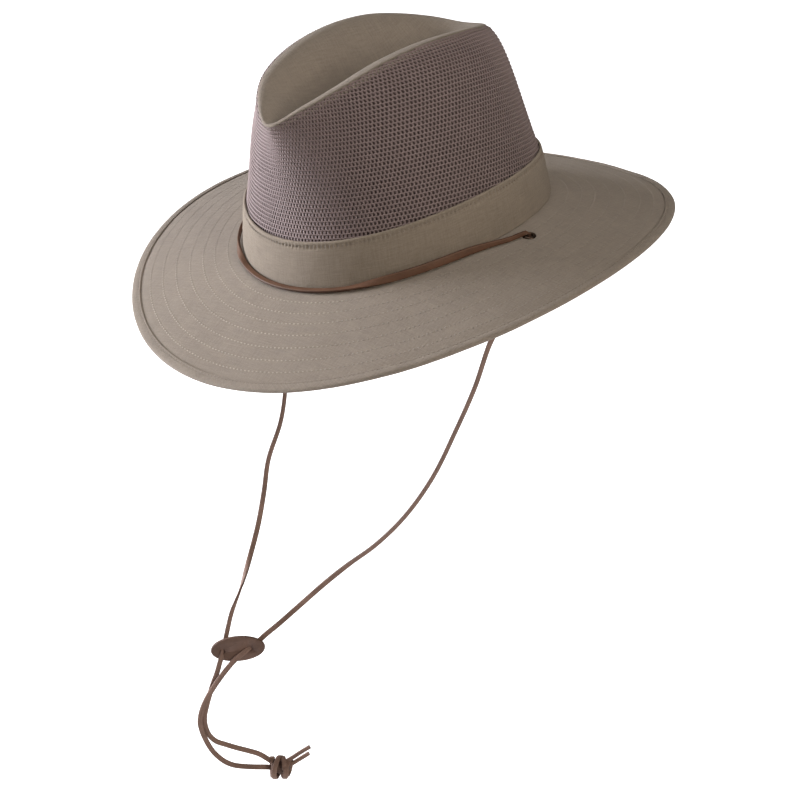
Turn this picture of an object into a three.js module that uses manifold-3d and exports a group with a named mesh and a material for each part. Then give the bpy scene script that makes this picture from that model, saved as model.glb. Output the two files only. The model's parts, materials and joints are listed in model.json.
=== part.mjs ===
// A bush hat: canvas brim, band and crown tip, mesh crown wall, leather chin lace with slide and knot.
// Millimetres, +Z up. The front of the hat is -Y and the wearer's left is +X.
// The origin is the middle of the head opening, level with the foot of the crown.

import * as THREE from 'three';
import { mergeVertices } from 'three/addons/utils/BufferGeometryUtils.js';
import Module from 'manifold-3d';

const wasm = await Module();
wasm.setup();

// Rings of the form. Heights fall towards front and back by rise, and once more at the front by dip.
const FOOT = { halfWidth: 87.8, halfLength: 102.8, shift: 0, height: 0, rise: 4.9, dip: 0 };
const BAND_TOP = { halfWidth: 83, halfLength: 100.2, shift: 1.2, height: 28.6, rise: 5.3, dip: 0 };
const EDGE = { halfWidth: 160.3, halfLength: 177.5, shift: 2.7, height: -20, rise: 12.5, dip: 3 };
const FLOOR = { halfWidth: 6, halfLength: 51, shift: -11, height: 81, rise: -3, dip: 0 };

// The crest is the fold round the dent: one row each 22.5 degrees from the front to the back.
const CREST_STEP = 22.5;
const CREST = [
  { halfWidth: 0, along: -97.3, height: 93.7, outer: 3.6, inner: 7, seam: 3.5 },
  { halfWidth: 15.1, along: -84.2, height: 101.8, outer: 9.5, inner: 8, seam: 6 },
  { halfWidth: 26.2, along: -65, height: 109, outer: 16, inner: 10, seam: 7 },
  { halfWidth: 33, along: -34.5, height: 114.8, outer: 19, inner: 12, seam: 7 },
  { halfWidth: 36.8, along: 0, height: 115.6, outer: 21.5, inner: 13, seam: 7 },
  { halfWidth: 37, along: 32, height: 112, outer: 21, inner: 12, seam: 7 },
  { halfWidth: 31.8, along: 55, height: 106.5, outer: 16.5, inner: 10, seam: 7 },
  { halfWidth: 19, along: 71.5, height: 101, outer: 13.5, inner: 9, seam: 7 },
  { halfWidth: 0, along: 76.6, height: 98, outer: 12.5, inner: 8, seam: 7 },
];

// How the crown's wall rises, and the hollow pressed into it at each side of the front.
const WALL_LEAN = 0.25;
const WALL_HANDLE = 0.56;
const FLOOR_HANDLE = 0.45;
const PINCH = { angle: 40, spread: 17, level: 0.62, tall: 0.28, depth: 4 };

// Cloth thicknesses, gaps and rows.
const COLUMNS = 64;
const GAP = 0.3;
const CANVAS = 1.2;
const MESH = 1;
const BAND_LIFT = 0.9;
const BRIM_THICKNESS = 2;
const BRIM_ARCH = 1;
const BINDING = { cloth: 1, width: 6, chamfer: 0.8 };
const HEM = 8;
const BRIM_ROWS = [0, 0.2, 0.5, 0.8, 1];
const BAND_ROWS = [0, 0.5, 1];
const MESH_ROWS = [-1, 0, 0.15, 0.32, 0.5, 0.68, 0.84, 1];
const TIP_ROWS = [0, 0.5, 1, 1.15, 1.32, 1.5, 1.7, 2, 3];

// Chin lace and what is on it.
const LACE_RADIUS = 1.35;
const LACE_SIDES = 8;
const LACE_STEPS = 40;
const FRONT_STEPS = 90;
const TAIL_STEPS = 4;
const HOLE = { angle: 90.86, out: 0.163, radius: 2.9 };
const EYELET = { inner: 2.3, barrel: 2.6, flange: 4.3, foot: 3.8, sheet: 0.7 };
const EYELET_SEGMENTS = 24;
const SLIDE = { length: 36.5, height: 17.6, thickness: 2.6, facing: 40, centre: [-109.5, -91, -297.5] };
const KNOT = { radius: 7.6, halfLength: 7, round: 2.6, centre: [-96.7, -82.2, -394.9], axis: [0.75, 0.64, -0.17] };
const KNOT_SEGMENTS = 16;

// Where the front lace lies: angle from the front, and how far out from the foot towards the edge.
const FRONT_LACE = [[84.5, 0.108], [78.5, 0.064], [72, 0.036], [65, 0.025], [52, 0.024], [39, 0.024],
  [26, 0.024], [13, 0.024]];

// Routes of the hanging laces, from their holes in the brim to the knot.
const LACE_LEFT = [
  [99.5, 2, 2], [99.5, 2, -4.5], [99.5, 2, -14.5], [90, 0, -34], [79.5, -2.5, -50], [67.5, -4.5, -68.5],
  [50.5, -5, -104], [32.5, -6.5, -137], [11, -10.5, -175], [-11, -17.5, -206], [-33, -25.5, -229.5],
  [-52, -34.5, -245.5], [-66.5, -44, -259], [-81, -55.5, -274], [-90.5, -68, -284.5], [-97.5, -76, -291.5],
  [-100.5, -80.5, -295], [-103, -85, -297], [-105, -90, -299.5], [-109, -95, -303.5], [-112.5, -99.5, -308.5],
  [-117, -104, -315.5], [-122, -108.5, -324], [-126.5, -112, -332.5], [-130, -114.5, -341], [-132, -116, -349.5],
  [-132.5, -115.5, -357], [-131.5, -114.5, -364.5], [-130, -112.5, -373], [-128, -110, -379.5],
  [-124.5, -107, -385], [-120.5, -103, -389], [-115.5, -98.5, -391], [-110, -93.5, -392.5],
  [-105, -89, -393.5], [-101, -85.5, -394.5],
];
const LACE_RIGHT = [
  [-99.5, 2, 2], [-99.5, 2, -4.5], [-99.5, 2, -14.5], [-103.5, 1, -37], [-104.5, -2.5, -71], [-104, -9, -104.5],
  [-103.5, -18, -137.5], [-104.5, -25, -156], [-108.5, -37.5, -179.5], [-108.5, -46, -199.5],
  [-109.5, -54.5, -219.5], [-111.5, -65.5, -241], [-114, -76, -260.5], [-117, -84.5, -275], [-116.5, -91, -284.5],
  [-117.5, -93, -290.5], [-117.5, -95, -294.5], [-117.5, -97.5, -297.5], [-117.5, -99.5, -301.5],
  [-118.5, -101.5, -306.5], [-120.5, -103.5, -313.5], [-124, -105.5, -322], [-126.5, -107.5, -329.5],
  [-129, -110, -338.5], [-131, -112, -347], [-132, -112, -355.5], [-131, -111, -363], [-128, -108.5, -368.5],
  [-123.5, -104.5, -372], [-118, -100, -375.5], [-112.5, -95, -379], [-107, -91, -382], [-103.5, -88, -386],
  [-100.5, -85.5, -390],
];
const TAIL_UPPER = [[-92.5, -80, -389.5], [-89, -77, -387], [-84, -73.5, -383], [-78.5, -69.5, -379]];
const TAIL_LOWER = [[-93, -78, -394.5], [-90, -75, -392.5], [-86.5, -71, -390], [-82.5, -67.5, -387]];

// Materials.
const CANVAS_CLOTH = new THREE.MeshStandardMaterial({ color: 0x9a8f82, roughness: 0.92, metalness: 0 });
const BAND_CLOTH = new THREE.MeshStandardMaterial({ color: 0x968b78, roughness: 0.92, metalness: 0 });
const MESH_CLOTH = new THREE.MeshStandardMaterial({ color: 0x7d6e6d, roughness: 0.8, metalness: 0 });
const LEATHER = new THREE.MeshStandardMaterial({ color: 0x6b4a38, roughness: 0.6, metalness: 0 });
const DARK_METAL = new THREE.MeshStandardMaterial({ color: 0x3c3531, roughness: 0.4, metalness: 0.9 });

const radians = THREE.MathUtils.degToRad;

// A point of a ring, turned by an angle from the front towards the wearer's left.
function ringPoint(ring, angle) {
  const side = Math.sin(angle);
  const front = Math.cos(angle);
  const fall = ring.rise * Math.cos(2 * angle) + ring.dip * front;
  return new THREE.Vector3(ring.halfWidth * side, ring.shift - ring.halfLength * front, ring.height - fall);
}

function insetRing(ring, distance) {
  return { ...ring, halfWidth: ring.halfWidth - distance, halfLength: ring.halfLength - distance };
}

// A smooth value of one column of the crest's table, mirrored to the wearer's right.
function crestValue(column, angle) {
  const last = CREST.length - 1;
  const read = (index) => {
    const wrapped = ((index % (2 * last)) + 2 * last) % (2 * last);
    const mirrored = wrapped > last;
    const value = CREST[mirrored ? 2 * last - wrapped : wrapped][column];
    return mirrored && column === 'halfWidth' ? -value : value;
  };
  const place = THREE.MathUtils.radToDeg(angle) / CREST_STEP;
  const low = Math.floor(place);
  const t = place - low;
  const [a, b, c, d] = [read(low - 1), read(low), read(low + 1), read(low + 2)];
  const curve = (2 * a - 5 * b + 4 * c - d) * t * t + (3 * b - a - 3 * c + d) * t * t * t;
  return 0.5 * (2 * b + (c - a) * t + curve);
}

function crestPoint(angle) {
  return new THREE.Vector3(crestValue('halfWidth', angle), crestValue('along', angle), crestValue('height', angle));
}

// The level direction from the dent's floor out through the crest.
function outwardAt(angle) {
  const way = crestPoint(angle).sub(ringPoint(FLOOR, angle));
  way.z = 0;
  return way.normalize();
}

function pinchDepth(angle, level) {
  const turned = Math.abs(THREE.MathUtils.euclideanModulo(THREE.MathUtils.radToDeg(angle) + 180, 360) - 180);
  const aside = ((turned - PINCH.angle) / PINCH.spread) ** 2;
  const above = ((level - PINCH.level) / PINCH.tall) ** 2;
  return PINCH.depth * Math.exp(-aside - above);
}

// The crown's wall, from level 0 at the band's top to level 1 at the crest.
function wallPoint(angle, level) {
  const low = ringPoint(insetRing(BAND_TOP, CANVAS + GAP), angle);
  const top = crestPoint(angle);
  const out = outwardAt(angle);
  const reach = (top.z - low.z) * WALL_HANDLE;
  const lean = new THREE.Vector3(low.x, low.y, 0).normalize().multiplyScalar(-WALL_LEAN * reach);
  const rising = low.clone().add(lean).add(new THREE.Vector3(0, 0, reach));
  const arriving = top.clone().addScaledVector(out, crestValue('outer', angle));
  const point = new THREE.CubicBezierCurve3(low, rising, arriving, top).getPoint(level);
  return point.addScaledVector(out, -pinchDepth(angle, level));
}

// The dent, from level 0 at the crest to level 1 at the floor's ring.
function dentPoint(angle, level) {
  const top = crestPoint(angle);
  const low = ringPoint(FLOOR, angle);
  const out = outwardAt(angle);
  const run = Math.hypot(top.x - low.x, top.y - low.y);
  const leaving = top.clone().addScaledVector(out, -crestValue('inner', angle));
  const landing = low.clone().addScaledVector(out, run * FLOOR_HANDLE);
  return new THREE.CubicBezierCurve3(top, leaving, landing, low).getPoint(level);
}

// The wall's level at a distance below the crest, measured along the wall.
function levelBelowCrest(angle, distance) {
  const step = 0.01;
  let walked = 0;
  let level = 1;
  let point = wallPoint(angle, level);
  while (walked < distance && level > step) {
    const next = wallPoint(angle, level - step);
    const length = next.distanceTo(point);
    const share = Math.min(1, (distance - walked) / length);
    level -= step * share;
    walked += length * share;
    point = next;
  }
  return level;
}

// The cloth of each wall, by angle and row. Rows run so that the outer side is on the right hand.
function bandSurface(angle, row) {
  const low = ringPoint(FOOT, angle).add(new THREE.Vector3(0, 0, BAND_LIFT));
  return low.lerp(ringPoint(BAND_TOP, angle), row);
}

function meshSurface(angle, row) {
  if (row < 0) {
    const share = 1 - HEM / BAND_TOP.height;
    const hem = ringPoint(insetRing(FOOT, CANVAS + GAP), angle);
    hem.lerp(ringPoint(insetRing(BAND_TOP, CANVAS + GAP), angle), share);
    return hem.lerp(wallPoint(angle, 0), 1 + row);
  }
  const top = levelBelowCrest(angle, crestValue('seam', angle) + GAP);
  return wallPoint(angle, top * row);
}

function tipSurface(angle, row) {
  if (row <= 1) {
    return wallPoint(angle, THREE.MathUtils.lerp(levelBelowCrest(angle, crestValue('seam', angle)), 1, row));
  }
  if (row <= 2) {
    return dentPoint(angle, row - 1);
  }
  const centre = new THREE.Vector3(0, FLOOR.shift, FLOOR.height);
  return ringPoint(FLOOR, angle).lerp(centre, row - 2);
}

// The brim's upper side: out is 0 at the crown's foot and 1 at the edge.
function brimPoint(angle, out) {
  const point = ringPoint(FOOT, angle).lerp(ringPoint(EDGE, angle), out);
  point.z += BRIM_ARCH * 4 * out * (1 - out);
  return point;
}

function brimSurface(angle, row) {
  const width = EDGE.halfWidth - FOOT.halfWidth;
  const outer = 1 - (BINDING.cloth + GAP) / width;
  const inner = -(CANVAS + GAP) / width;
  return brimPoint(angle, THREE.MathUtils.lerp(outer, inner, row));
}

// The unit normal of a surface, on its outer side.
function normalAt(surface, angle, row, lowRow, highRow) {
  const small = 0.01;
  const low = Math.max(lowRow, row - small);
  const high = Math.min(highRow, row + small);
  const along = surface(angle + small, row).sub(surface(angle - small, row));
  const up = surface(angle, high).sub(surface(angle, low));
  return along.cross(up).normalize();
}

function geometryFrom(vertices, indices) {
  const geometry = new THREE.BufferGeometry();
  geometry.setAttribute('position', new THREE.Float32BufferAttribute(vertices.flatMap((v) => v.toArray()), 3));
  geometry.setIndex(indices);
  return geometry;
}

// A closed wall of even thickness on a surface that runs once round, ending in a point if capped.
function wallGeometry(surface, rows, thickness, capped = false) {
  const rings = capped ? rows.slice(0, -1) : rows;
  const lowRow = rows[0];
  const highRow = rows[rows.length - 1];
  const vertices = [];
  const indices = [];
  const at = (side, column, ring) => side * COLUMNS * rings.length + (column % COLUMNS) * rings.length + ring;
  const quad = (a, b, c, d) => indices.push(a, b, c, a, c, d);
  for (const side of [0, 1]) {
    for (let column = 0; column < COLUMNS; column += 1) {
      const angle = (column / COLUMNS) * 2 * Math.PI;
      for (const row of rings) {
        const normal = normalAt(surface, angle, row, lowRow, highRow);
        vertices.push(surface(angle, row).addScaledVector(normal, -thickness * side));
      }
    }
  }
  const last = rings.length - 1;
  for (let column = 0; column < COLUMNS; column += 1) {
    const next = column + 1;
    for (let ring = 0; ring < last; ring += 1) {
      quad(at(0, column, ring), at(0, next, ring), at(0, next, ring + 1), at(0, column, ring + 1));
      quad(at(1, next, ring), at(1, column, ring), at(1, column, ring + 1), at(1, next, ring + 1));
    }
    quad(at(1, column, 0), at(1, next, 0), at(0, next, 0), at(0, column, 0));
    if (!capped) {
      quad(at(0, column, last), at(0, next, last), at(1, next, last), at(1, column, last));
    }
  }
  if (capped) {
    const centre = surface(0, highRow);
    const upper = vertices.push(centre) - 1;
    const lower = vertices.push(centre.clone().add(new THREE.Vector3(0, 0, -thickness))) - 1;
    for (let column = 0; column < COLUMNS; column += 1) {
      indices.push(at(0, column, last), at(0, column + 1, last), upper);
      indices.push(at(1, column + 1, last), at(1, column, last), lower);
    }
  }
  return geometryFrom(vertices, indices);
}

// The folded tape round the brim's edge: a section in inward distance and height, swept round.
function bindingGeometry() {
  const high = BRIM_THICKNESS / 2 + GAP + BINDING.cloth;
  const slot = BRIM_THICKNESS / 2 + GAP;
  const { cloth, width, chamfer } = BINDING;
  const section = [[chamfer, -high], [width, -high], [width, -slot], [cloth, -slot], [cloth, slot],
    [width, slot], [width, high], [chamfer, high], [0, high - chamfer], [0, chamfer - high]];
  const reach = EDGE.halfWidth - FOOT.halfWidth;
  const vertices = [];
  const indices = [];
  for (let column = 0; column < COLUMNS; column += 1) {
    const angle = (column / COLUMNS) * 2 * Math.PI;
    for (const [inward, height] of section) {
      const out = 1 - inward / reach;
      const flat = (turn, row) => brimPoint(turn, 1 - row);
      const normal = normalAt(flat, angle, 1 - out, 0, 1);
      vertices.push(brimPoint(angle, out).addScaledVector(normal, height - BRIM_THICKNESS / 2));
    }
  }
  const count = section.length;
  for (let column = 0; column < COLUMNS; column += 1) {
    const next = (column + 1) % COLUMNS;
    for (let corner = 0; corner < count; corner += 1) {
      const after = (corner + 1) % count;
      const a = column * count + corner;
      const b = next * count + corner;
      const c = next * count + after;
      const d = column * count + after;
      indices.push(a, c, b, a, d, c);
    }
  }
  return geometryFrom(vertices, indices);
}

// Joining and cutting of closed shapes.
function toManifold(geometry) {
  const bare = geometry.clone();
  bare.deleteAttribute('normal');
  bare.deleteAttribute('uv');
  const merged = mergeVertices(bare, 1e-4);
  const shape = new wasm.Mesh({
    numProp: 3,
    vertProperties: new Float32Array(merged.getAttribute('position').array),
    triVerts: new Uint32Array(merged.getIndex().array),
  });
  return new wasm.Manifold(shape);
}

function cut(geometry, tools) {
  let body = toManifold(geometry);
  for (const tool of tools) {
    body = body.subtract(toManifold(tool));
  }
  const shape = body.getMesh();
  const result = new THREE.BufferGeometry();
  result.setAttribute('position', new THREE.Float32BufferAttribute(shape.vertProperties, shape.numProp));
  result.setIndex(Array.from(shape.triVerts));
  return result;
}

function named(name, geometry, material) {
  const mesh = new THREE.Mesh(geometry, material);
  mesh.name = name;
  return mesh;
}

// Laces: an eight-sided tube along a smooth curve.
function curveThrough(points) {
  return new THREE.CatmullRomCurve3(points.map((p) => (p.isVector3 ? p : new THREE.Vector3(...p))));
}

function tubeGeometry(points, steps, radius) {
  const corners = [];
  for (let side = 0; side < LACE_SIDES; side += 1) {
    const angle = (side / LACE_SIDES) * 2 * Math.PI;
    corners.push(new THREE.Vector2(radius * Math.cos(angle), radius * Math.sin(angle)));
  }
  const extrudePath = curveThrough(points);
  return new THREE.ExtrudeGeometry(new THREE.Shape(corners), { steps, extrudePath });
}

// The same tube with room round it and past both ends, for cutting a lace's way.
function clearanceGeometry(points, steps) {
  const ends = curveThrough(points);
  const first = ends.getPoint(0).addScaledVector(ends.getTangent(0), -GAP);
  const last = ends.getPoint(1).addScaledVector(ends.getTangent(1), GAP);
  const longer = [first, ...points.slice(1, -1).map((p) => new THREE.Vector3(...p)), last];
  return tubeGeometry(longer, steps, LACE_RADIUS + 1.4 * GAP);
}

// The hole on the wearer's left (side 1) or right (side -1), with the brim's normal there.
function holeFrame(side) {
  const angle = side * radians(HOLE.angle);
  const flat = (turn, row) => brimPoint(turn, 1 - row);
  return { centre: brimPoint(angle, HOLE.out), normal: normalAt(flat, angle, 1 - HOLE.out, 0, 1) };
}

function frontLacePoints() {
  const lift = LACE_RADIUS + GAP;
  const flat = (turn, row) => brimPoint(turn, 1 - row);
  const onBrim = (degrees, out) => {
    const angle = radians(degrees);
    return brimPoint(angle, out).addScaledVector(normalAt(flat, angle, 1 - out, 0, 1), lift);
  };
  const top = EYELET.sheet + GAP;
  const fromHole = (side) => {
    const { centre } = holeFrame(side);
    const inHole = centre.clone().add(new THREE.Vector3(0, 0, -1));
    const rising = centre.clone().add(new THREE.Vector3(0, -0.1, top + 0.5));
    const turning = centre.clone().add(new THREE.Vector3(-0.6 * side, -1.6, top + lift + 0.5));
    const leaving = centre.clone().add(new THREE.Vector3(-2.2 * side, -5.6, top + lift));
    return [inHole, rising, turning, leaving];
  };
  const left = fromHole(1);
  const right = fromHole(-1).reverse();
  const leftRun = FRONT_LACE.map(([degrees, out]) => onBrim(degrees, out));
  const rightRun = [...FRONT_LACE].reverse().map(([degrees, out]) => onBrim(-degrees, out));
  return [...left, ...leftRun, onBrim(0, 0.024), ...rightRun, ...right];
}

function eyeletMesh(side) {
  const { inner, barrel, flange, foot, sheet } = EYELET;
  const above = GAP;
  const below = -BRIM_THICKNESS - GAP;
  const profile = [[inner, below - sheet], [foot, below - sheet], [foot, below], [barrel, below], [barrel, above],
    [flange, above], [flange - 0.3, above + sheet], [inner, above + sheet], [inner, below - sheet]];
  const geometry = new THREE.LatheGeometry(profile.map(([r, z]) => new THREE.Vector2(r, z)), EYELET_SEGMENTS);
  const mesh = named(side > 0 ? 'eyelet_left' : 'eyelet_right', geometry, DARK_METAL);
  const { centre, normal } = holeFrame(side);
  mesh.position.copy(centre);
  mesh.quaternion.setFromUnitVectors(new THREE.Vector3(0, 1, 0), normal);
  return mesh;
}

function brimMesh() {
  const plain = wallGeometry(brimSurface, BRIM_ROWS, BRIM_THICKNESS);
  const drills = [1, -1].map((side) => {
    const { centre, normal } = holeFrame(side);
    const drill = new THREE.CylinderGeometry(HOLE.radius, HOLE.radius, 4 * BRIM_THICKNESS, EYELET_SEGMENTS);
    const turn = new THREE.Quaternion().setFromUnitVectors(new THREE.Vector3(0, 1, 0), normal);
    return drill.applyQuaternion(turn).translate(centre.x, centre.y, centre.z);
  });
  return named('brim', cut(plain, drills), CANVAS_CLOTH);
}

function slideMesh() {
  const outline = new THREE.Shape();
  outline.absellipse(0, 0, SLIDE.length / 2, SLIDE.height / 2, 0, 2 * Math.PI, false, 0);
  const oval = new THREE.ExtrudeGeometry(outline, { depth: SLIDE.thickness, bevelEnabled: false, curveSegments: 14 });
  oval.translate(0, 0, -SLIDE.thickness / 2);
  oval.rotateX(radians(90));
  oval.rotateZ(radians(SLIDE.facing));
  oval.translate(...SLIDE.centre);
  const ways = [clearanceGeometry(LACE_LEFT, LACE_STEPS), clearanceGeometry(LACE_RIGHT, LACE_STEPS)];
  return named('slide', cut(oval, ways), LEATHER);
}

function knotMesh() {
  const { radius, halfLength, round } = KNOT;
  const profile = [[0, -halfLength], [radius - round, -halfLength], [radius, round - halfLength],
    [radius, halfLength - round], [radius - round, halfLength], [0, halfLength]];
  const lump = new THREE.LatheGeometry(profile.map(([r, z]) => new THREE.Vector2(r, z)), KNOT_SEGMENTS);
  const axis = new THREE.Vector3(...KNOT.axis).normalize();
  lump.applyQuaternion(new THREE.Quaternion().setFromUnitVectors(new THREE.Vector3(0, 1, 0), axis));
  lump.translate(...KNOT.centre);
  const ways = [clearanceGeometry(LACE_LEFT, LACE_STEPS), clearanceGeometry(LACE_RIGHT, LACE_STEPS),
    clearanceGeometry(TAIL_UPPER, TAIL_STEPS), clearanceGeometry(TAIL_LOWER, TAIL_STEPS)];
  return named('knot', cut(lump, ways), LEATHER);
}

const group = new THREE.Group();
group.add(brimMesh());
group.add(named('brim_binding', bindingGeometry(), CANVAS_CLOTH));
group.add(named('crown_band', wallGeometry(bandSurface, BAND_ROWS, CANVAS), BAND_CLOTH));
group.add(named('crown_mesh', wallGeometry(meshSurface, MESH_ROWS, MESH), MESH_CLOTH));
group.add(named('crown_tip', wallGeometry(tipSurface, TIP_ROWS, CANVAS, true), CANVAS_CLOTH));
group.add(eyeletMesh(1));
group.add(eyeletMesh(-1));
group.add(named('lace_front', tubeGeometry(frontLacePoints(), FRONT_STEPS, LACE_RADIUS), LEATHER));
group.add(named('lace_left', tubeGeometry(LACE_LEFT, LACE_STEPS, LACE_RADIUS), LEATHER));
group.add(named('lace_right', tubeGeometry(LACE_RIGHT, LACE_STEPS, LACE_RADIUS), LEATHER));
group.add(slideMesh());
group.add(knotMesh());
group.add(named('lace_tail_upper', tubeGeometry(TAIL_UPPER, TAIL_STEPS, LACE_RADIUS * 0.8), LEATHER));
group.add(named('lace_tail_lower', tubeGeometry(TAIL_LOWER, TAIL_STEPS, LACE_RADIUS * 0.8), LEATHER));

export default group;
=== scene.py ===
"""The looks of a bush hat: canvas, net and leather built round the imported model.

Metres, +Z up. The front of the hat is -Y and the wearer's left is +X.
An angle round the hat starts at its front and grows towards the wearer's left.
"""

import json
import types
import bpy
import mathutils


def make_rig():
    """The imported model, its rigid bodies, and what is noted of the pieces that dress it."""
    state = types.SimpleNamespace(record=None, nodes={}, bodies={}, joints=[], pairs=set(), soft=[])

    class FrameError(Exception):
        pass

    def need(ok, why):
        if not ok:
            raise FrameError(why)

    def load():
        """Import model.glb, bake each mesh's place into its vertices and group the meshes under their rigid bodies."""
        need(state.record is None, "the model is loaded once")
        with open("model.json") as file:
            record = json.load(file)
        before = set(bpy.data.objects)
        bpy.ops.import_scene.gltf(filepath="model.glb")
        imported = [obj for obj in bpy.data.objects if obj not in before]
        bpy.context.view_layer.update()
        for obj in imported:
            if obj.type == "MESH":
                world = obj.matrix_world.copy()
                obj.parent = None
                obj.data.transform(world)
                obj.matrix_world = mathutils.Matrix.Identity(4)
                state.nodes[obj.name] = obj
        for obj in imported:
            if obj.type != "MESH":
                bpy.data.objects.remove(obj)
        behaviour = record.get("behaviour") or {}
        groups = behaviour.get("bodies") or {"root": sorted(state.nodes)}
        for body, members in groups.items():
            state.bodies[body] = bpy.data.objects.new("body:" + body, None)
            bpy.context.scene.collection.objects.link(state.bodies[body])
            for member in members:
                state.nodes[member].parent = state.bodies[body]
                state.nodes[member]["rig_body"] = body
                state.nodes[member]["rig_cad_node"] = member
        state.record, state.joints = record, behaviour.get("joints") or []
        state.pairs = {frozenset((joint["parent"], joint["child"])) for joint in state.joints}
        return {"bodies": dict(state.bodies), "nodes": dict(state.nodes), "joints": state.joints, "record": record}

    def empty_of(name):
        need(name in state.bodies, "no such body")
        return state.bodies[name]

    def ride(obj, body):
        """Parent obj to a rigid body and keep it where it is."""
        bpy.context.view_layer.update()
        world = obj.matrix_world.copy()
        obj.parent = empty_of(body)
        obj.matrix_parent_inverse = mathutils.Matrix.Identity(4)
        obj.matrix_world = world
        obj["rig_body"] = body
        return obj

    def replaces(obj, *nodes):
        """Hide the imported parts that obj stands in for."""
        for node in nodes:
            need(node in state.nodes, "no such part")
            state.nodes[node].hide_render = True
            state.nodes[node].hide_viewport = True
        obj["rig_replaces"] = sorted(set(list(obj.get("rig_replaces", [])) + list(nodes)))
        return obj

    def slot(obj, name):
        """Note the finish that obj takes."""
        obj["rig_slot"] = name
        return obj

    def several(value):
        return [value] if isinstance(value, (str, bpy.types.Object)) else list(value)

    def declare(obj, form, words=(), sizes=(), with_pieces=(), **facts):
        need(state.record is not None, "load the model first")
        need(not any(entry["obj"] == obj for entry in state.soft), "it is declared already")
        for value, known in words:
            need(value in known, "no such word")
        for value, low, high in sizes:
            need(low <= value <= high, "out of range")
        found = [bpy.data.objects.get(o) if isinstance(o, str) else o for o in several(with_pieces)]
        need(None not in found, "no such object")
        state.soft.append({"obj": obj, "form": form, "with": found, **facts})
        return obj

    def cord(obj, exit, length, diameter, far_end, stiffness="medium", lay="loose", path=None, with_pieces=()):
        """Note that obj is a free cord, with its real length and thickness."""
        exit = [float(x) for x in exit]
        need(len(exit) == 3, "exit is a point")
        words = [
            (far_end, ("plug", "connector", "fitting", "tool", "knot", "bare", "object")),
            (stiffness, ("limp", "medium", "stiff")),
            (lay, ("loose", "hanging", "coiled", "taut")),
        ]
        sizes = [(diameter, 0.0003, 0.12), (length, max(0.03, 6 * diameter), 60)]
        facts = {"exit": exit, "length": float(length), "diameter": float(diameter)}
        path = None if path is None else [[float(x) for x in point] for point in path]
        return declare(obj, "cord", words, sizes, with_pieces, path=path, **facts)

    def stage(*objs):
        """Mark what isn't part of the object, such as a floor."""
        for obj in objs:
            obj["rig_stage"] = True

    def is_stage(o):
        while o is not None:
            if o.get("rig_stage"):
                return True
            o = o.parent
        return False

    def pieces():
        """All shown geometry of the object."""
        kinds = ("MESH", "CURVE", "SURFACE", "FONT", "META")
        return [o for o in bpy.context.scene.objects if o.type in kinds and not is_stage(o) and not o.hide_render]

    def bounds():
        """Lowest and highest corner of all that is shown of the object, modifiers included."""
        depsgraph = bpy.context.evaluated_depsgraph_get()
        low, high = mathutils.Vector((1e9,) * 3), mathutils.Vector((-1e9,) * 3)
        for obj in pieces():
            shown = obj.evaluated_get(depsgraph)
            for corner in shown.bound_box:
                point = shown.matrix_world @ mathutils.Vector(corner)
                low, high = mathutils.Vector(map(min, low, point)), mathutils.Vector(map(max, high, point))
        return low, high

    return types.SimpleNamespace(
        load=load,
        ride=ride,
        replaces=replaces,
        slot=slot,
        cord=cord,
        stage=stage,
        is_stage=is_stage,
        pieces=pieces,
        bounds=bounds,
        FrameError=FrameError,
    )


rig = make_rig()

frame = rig.load()

import bisect
import functools
import json
import math
from typing import NamedTuple

import bmesh
import bpy
from mathutils import Matrix, Vector, noise

bl_info = {
    "name": "Bush Hat",
    "version": (1, 0, 0),
    "blender": (4, 5, 0),
    "location": "3D View > Sidebar > Bush Hat",
    "description": "Builds a canvas and net bush hat with a leather chin lace",
    "category": "Add Mesh",
}

MM = 0.001
TURN = 2 * math.pi
UP = Vector((0, 0, 1))
WELD = 0.00001
SMALLEST = 1e-12
CLOTH_UV = "cloth"
SIZE_FILE = "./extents.json"
CAD_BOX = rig.bounds()


# The form of the hat, in millimetres

class Ring(NamedTuple):
    """An oval round the hat, lower by rise at front and back, higher by it at the sides.

    dip tilts it down at the front. shift moves it towards the back.
    """

    half_width: float
    half_length: float
    shift: float
    height: float
    rise: float
    dip: float


class CrestRow(NamedTuple):
    """The fold round the dent at one angle, with the reach of its handles and its strip's width."""

    half_width: float
    along: float
    height: float
    outer: float
    inner: float
    seam: float


FOOT = Ring(87.8, 102.8, 0, 0, 4.9, 0)
BAND_TOP = Ring(83, 100.2, 1.2, 28.6, 5.3, 0)
EDGE = Ring(160.3, 177.5, 2.7, -20, 12.5, 3)
FLOOR = Ring(6, 51, -11, 81, -3, 0)

CREST_STEP = 22.5
CREST = (
    CrestRow(0, -97.3, 93.7, 3.6, 7, 3.5),
    CrestRow(15.1, -84.2, 101.8, 11.5, 8, 6),
    CrestRow(26.2, -65, 109, 18, 10, 7),
    CrestRow(33, -34.5, 114.8, 19, 12, 7),
    CrestRow(36.8, 0, 115.6, 21.5, 13, 7),
    CrestRow(37, 32, 112, 21, 12, 7),
    CrestRow(31.8, 55, 106.5, 16.5, 10, 7),
    CrestRow(19, 71.5, 101, 13.5, 9, 7),
    CrestRow(0, 76.6, 98, 12.5, 8, 7),
)

# How the crown's wall and dent curve, as shares of their height and run.
WALL_LEAN = 0.25
WALL_HANDLE = 0.56
FLOOR_HANDLE = 0.45

# How much shorter the dent's floor is on its middle line, as a share, and how far it sags there.
FLOOR_TAPER = 0.12
FLOOR_SAG = 0.6

# The pinch at each side of the crown's front.
PINCH_ANGLE = 40
PINCH_SPREAD = 17
PINCH_LEVEL = 0.62
PINCH_TALL = 0.28
PINCH_DEPTH = 4
PINCH_FADE = 8

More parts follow.
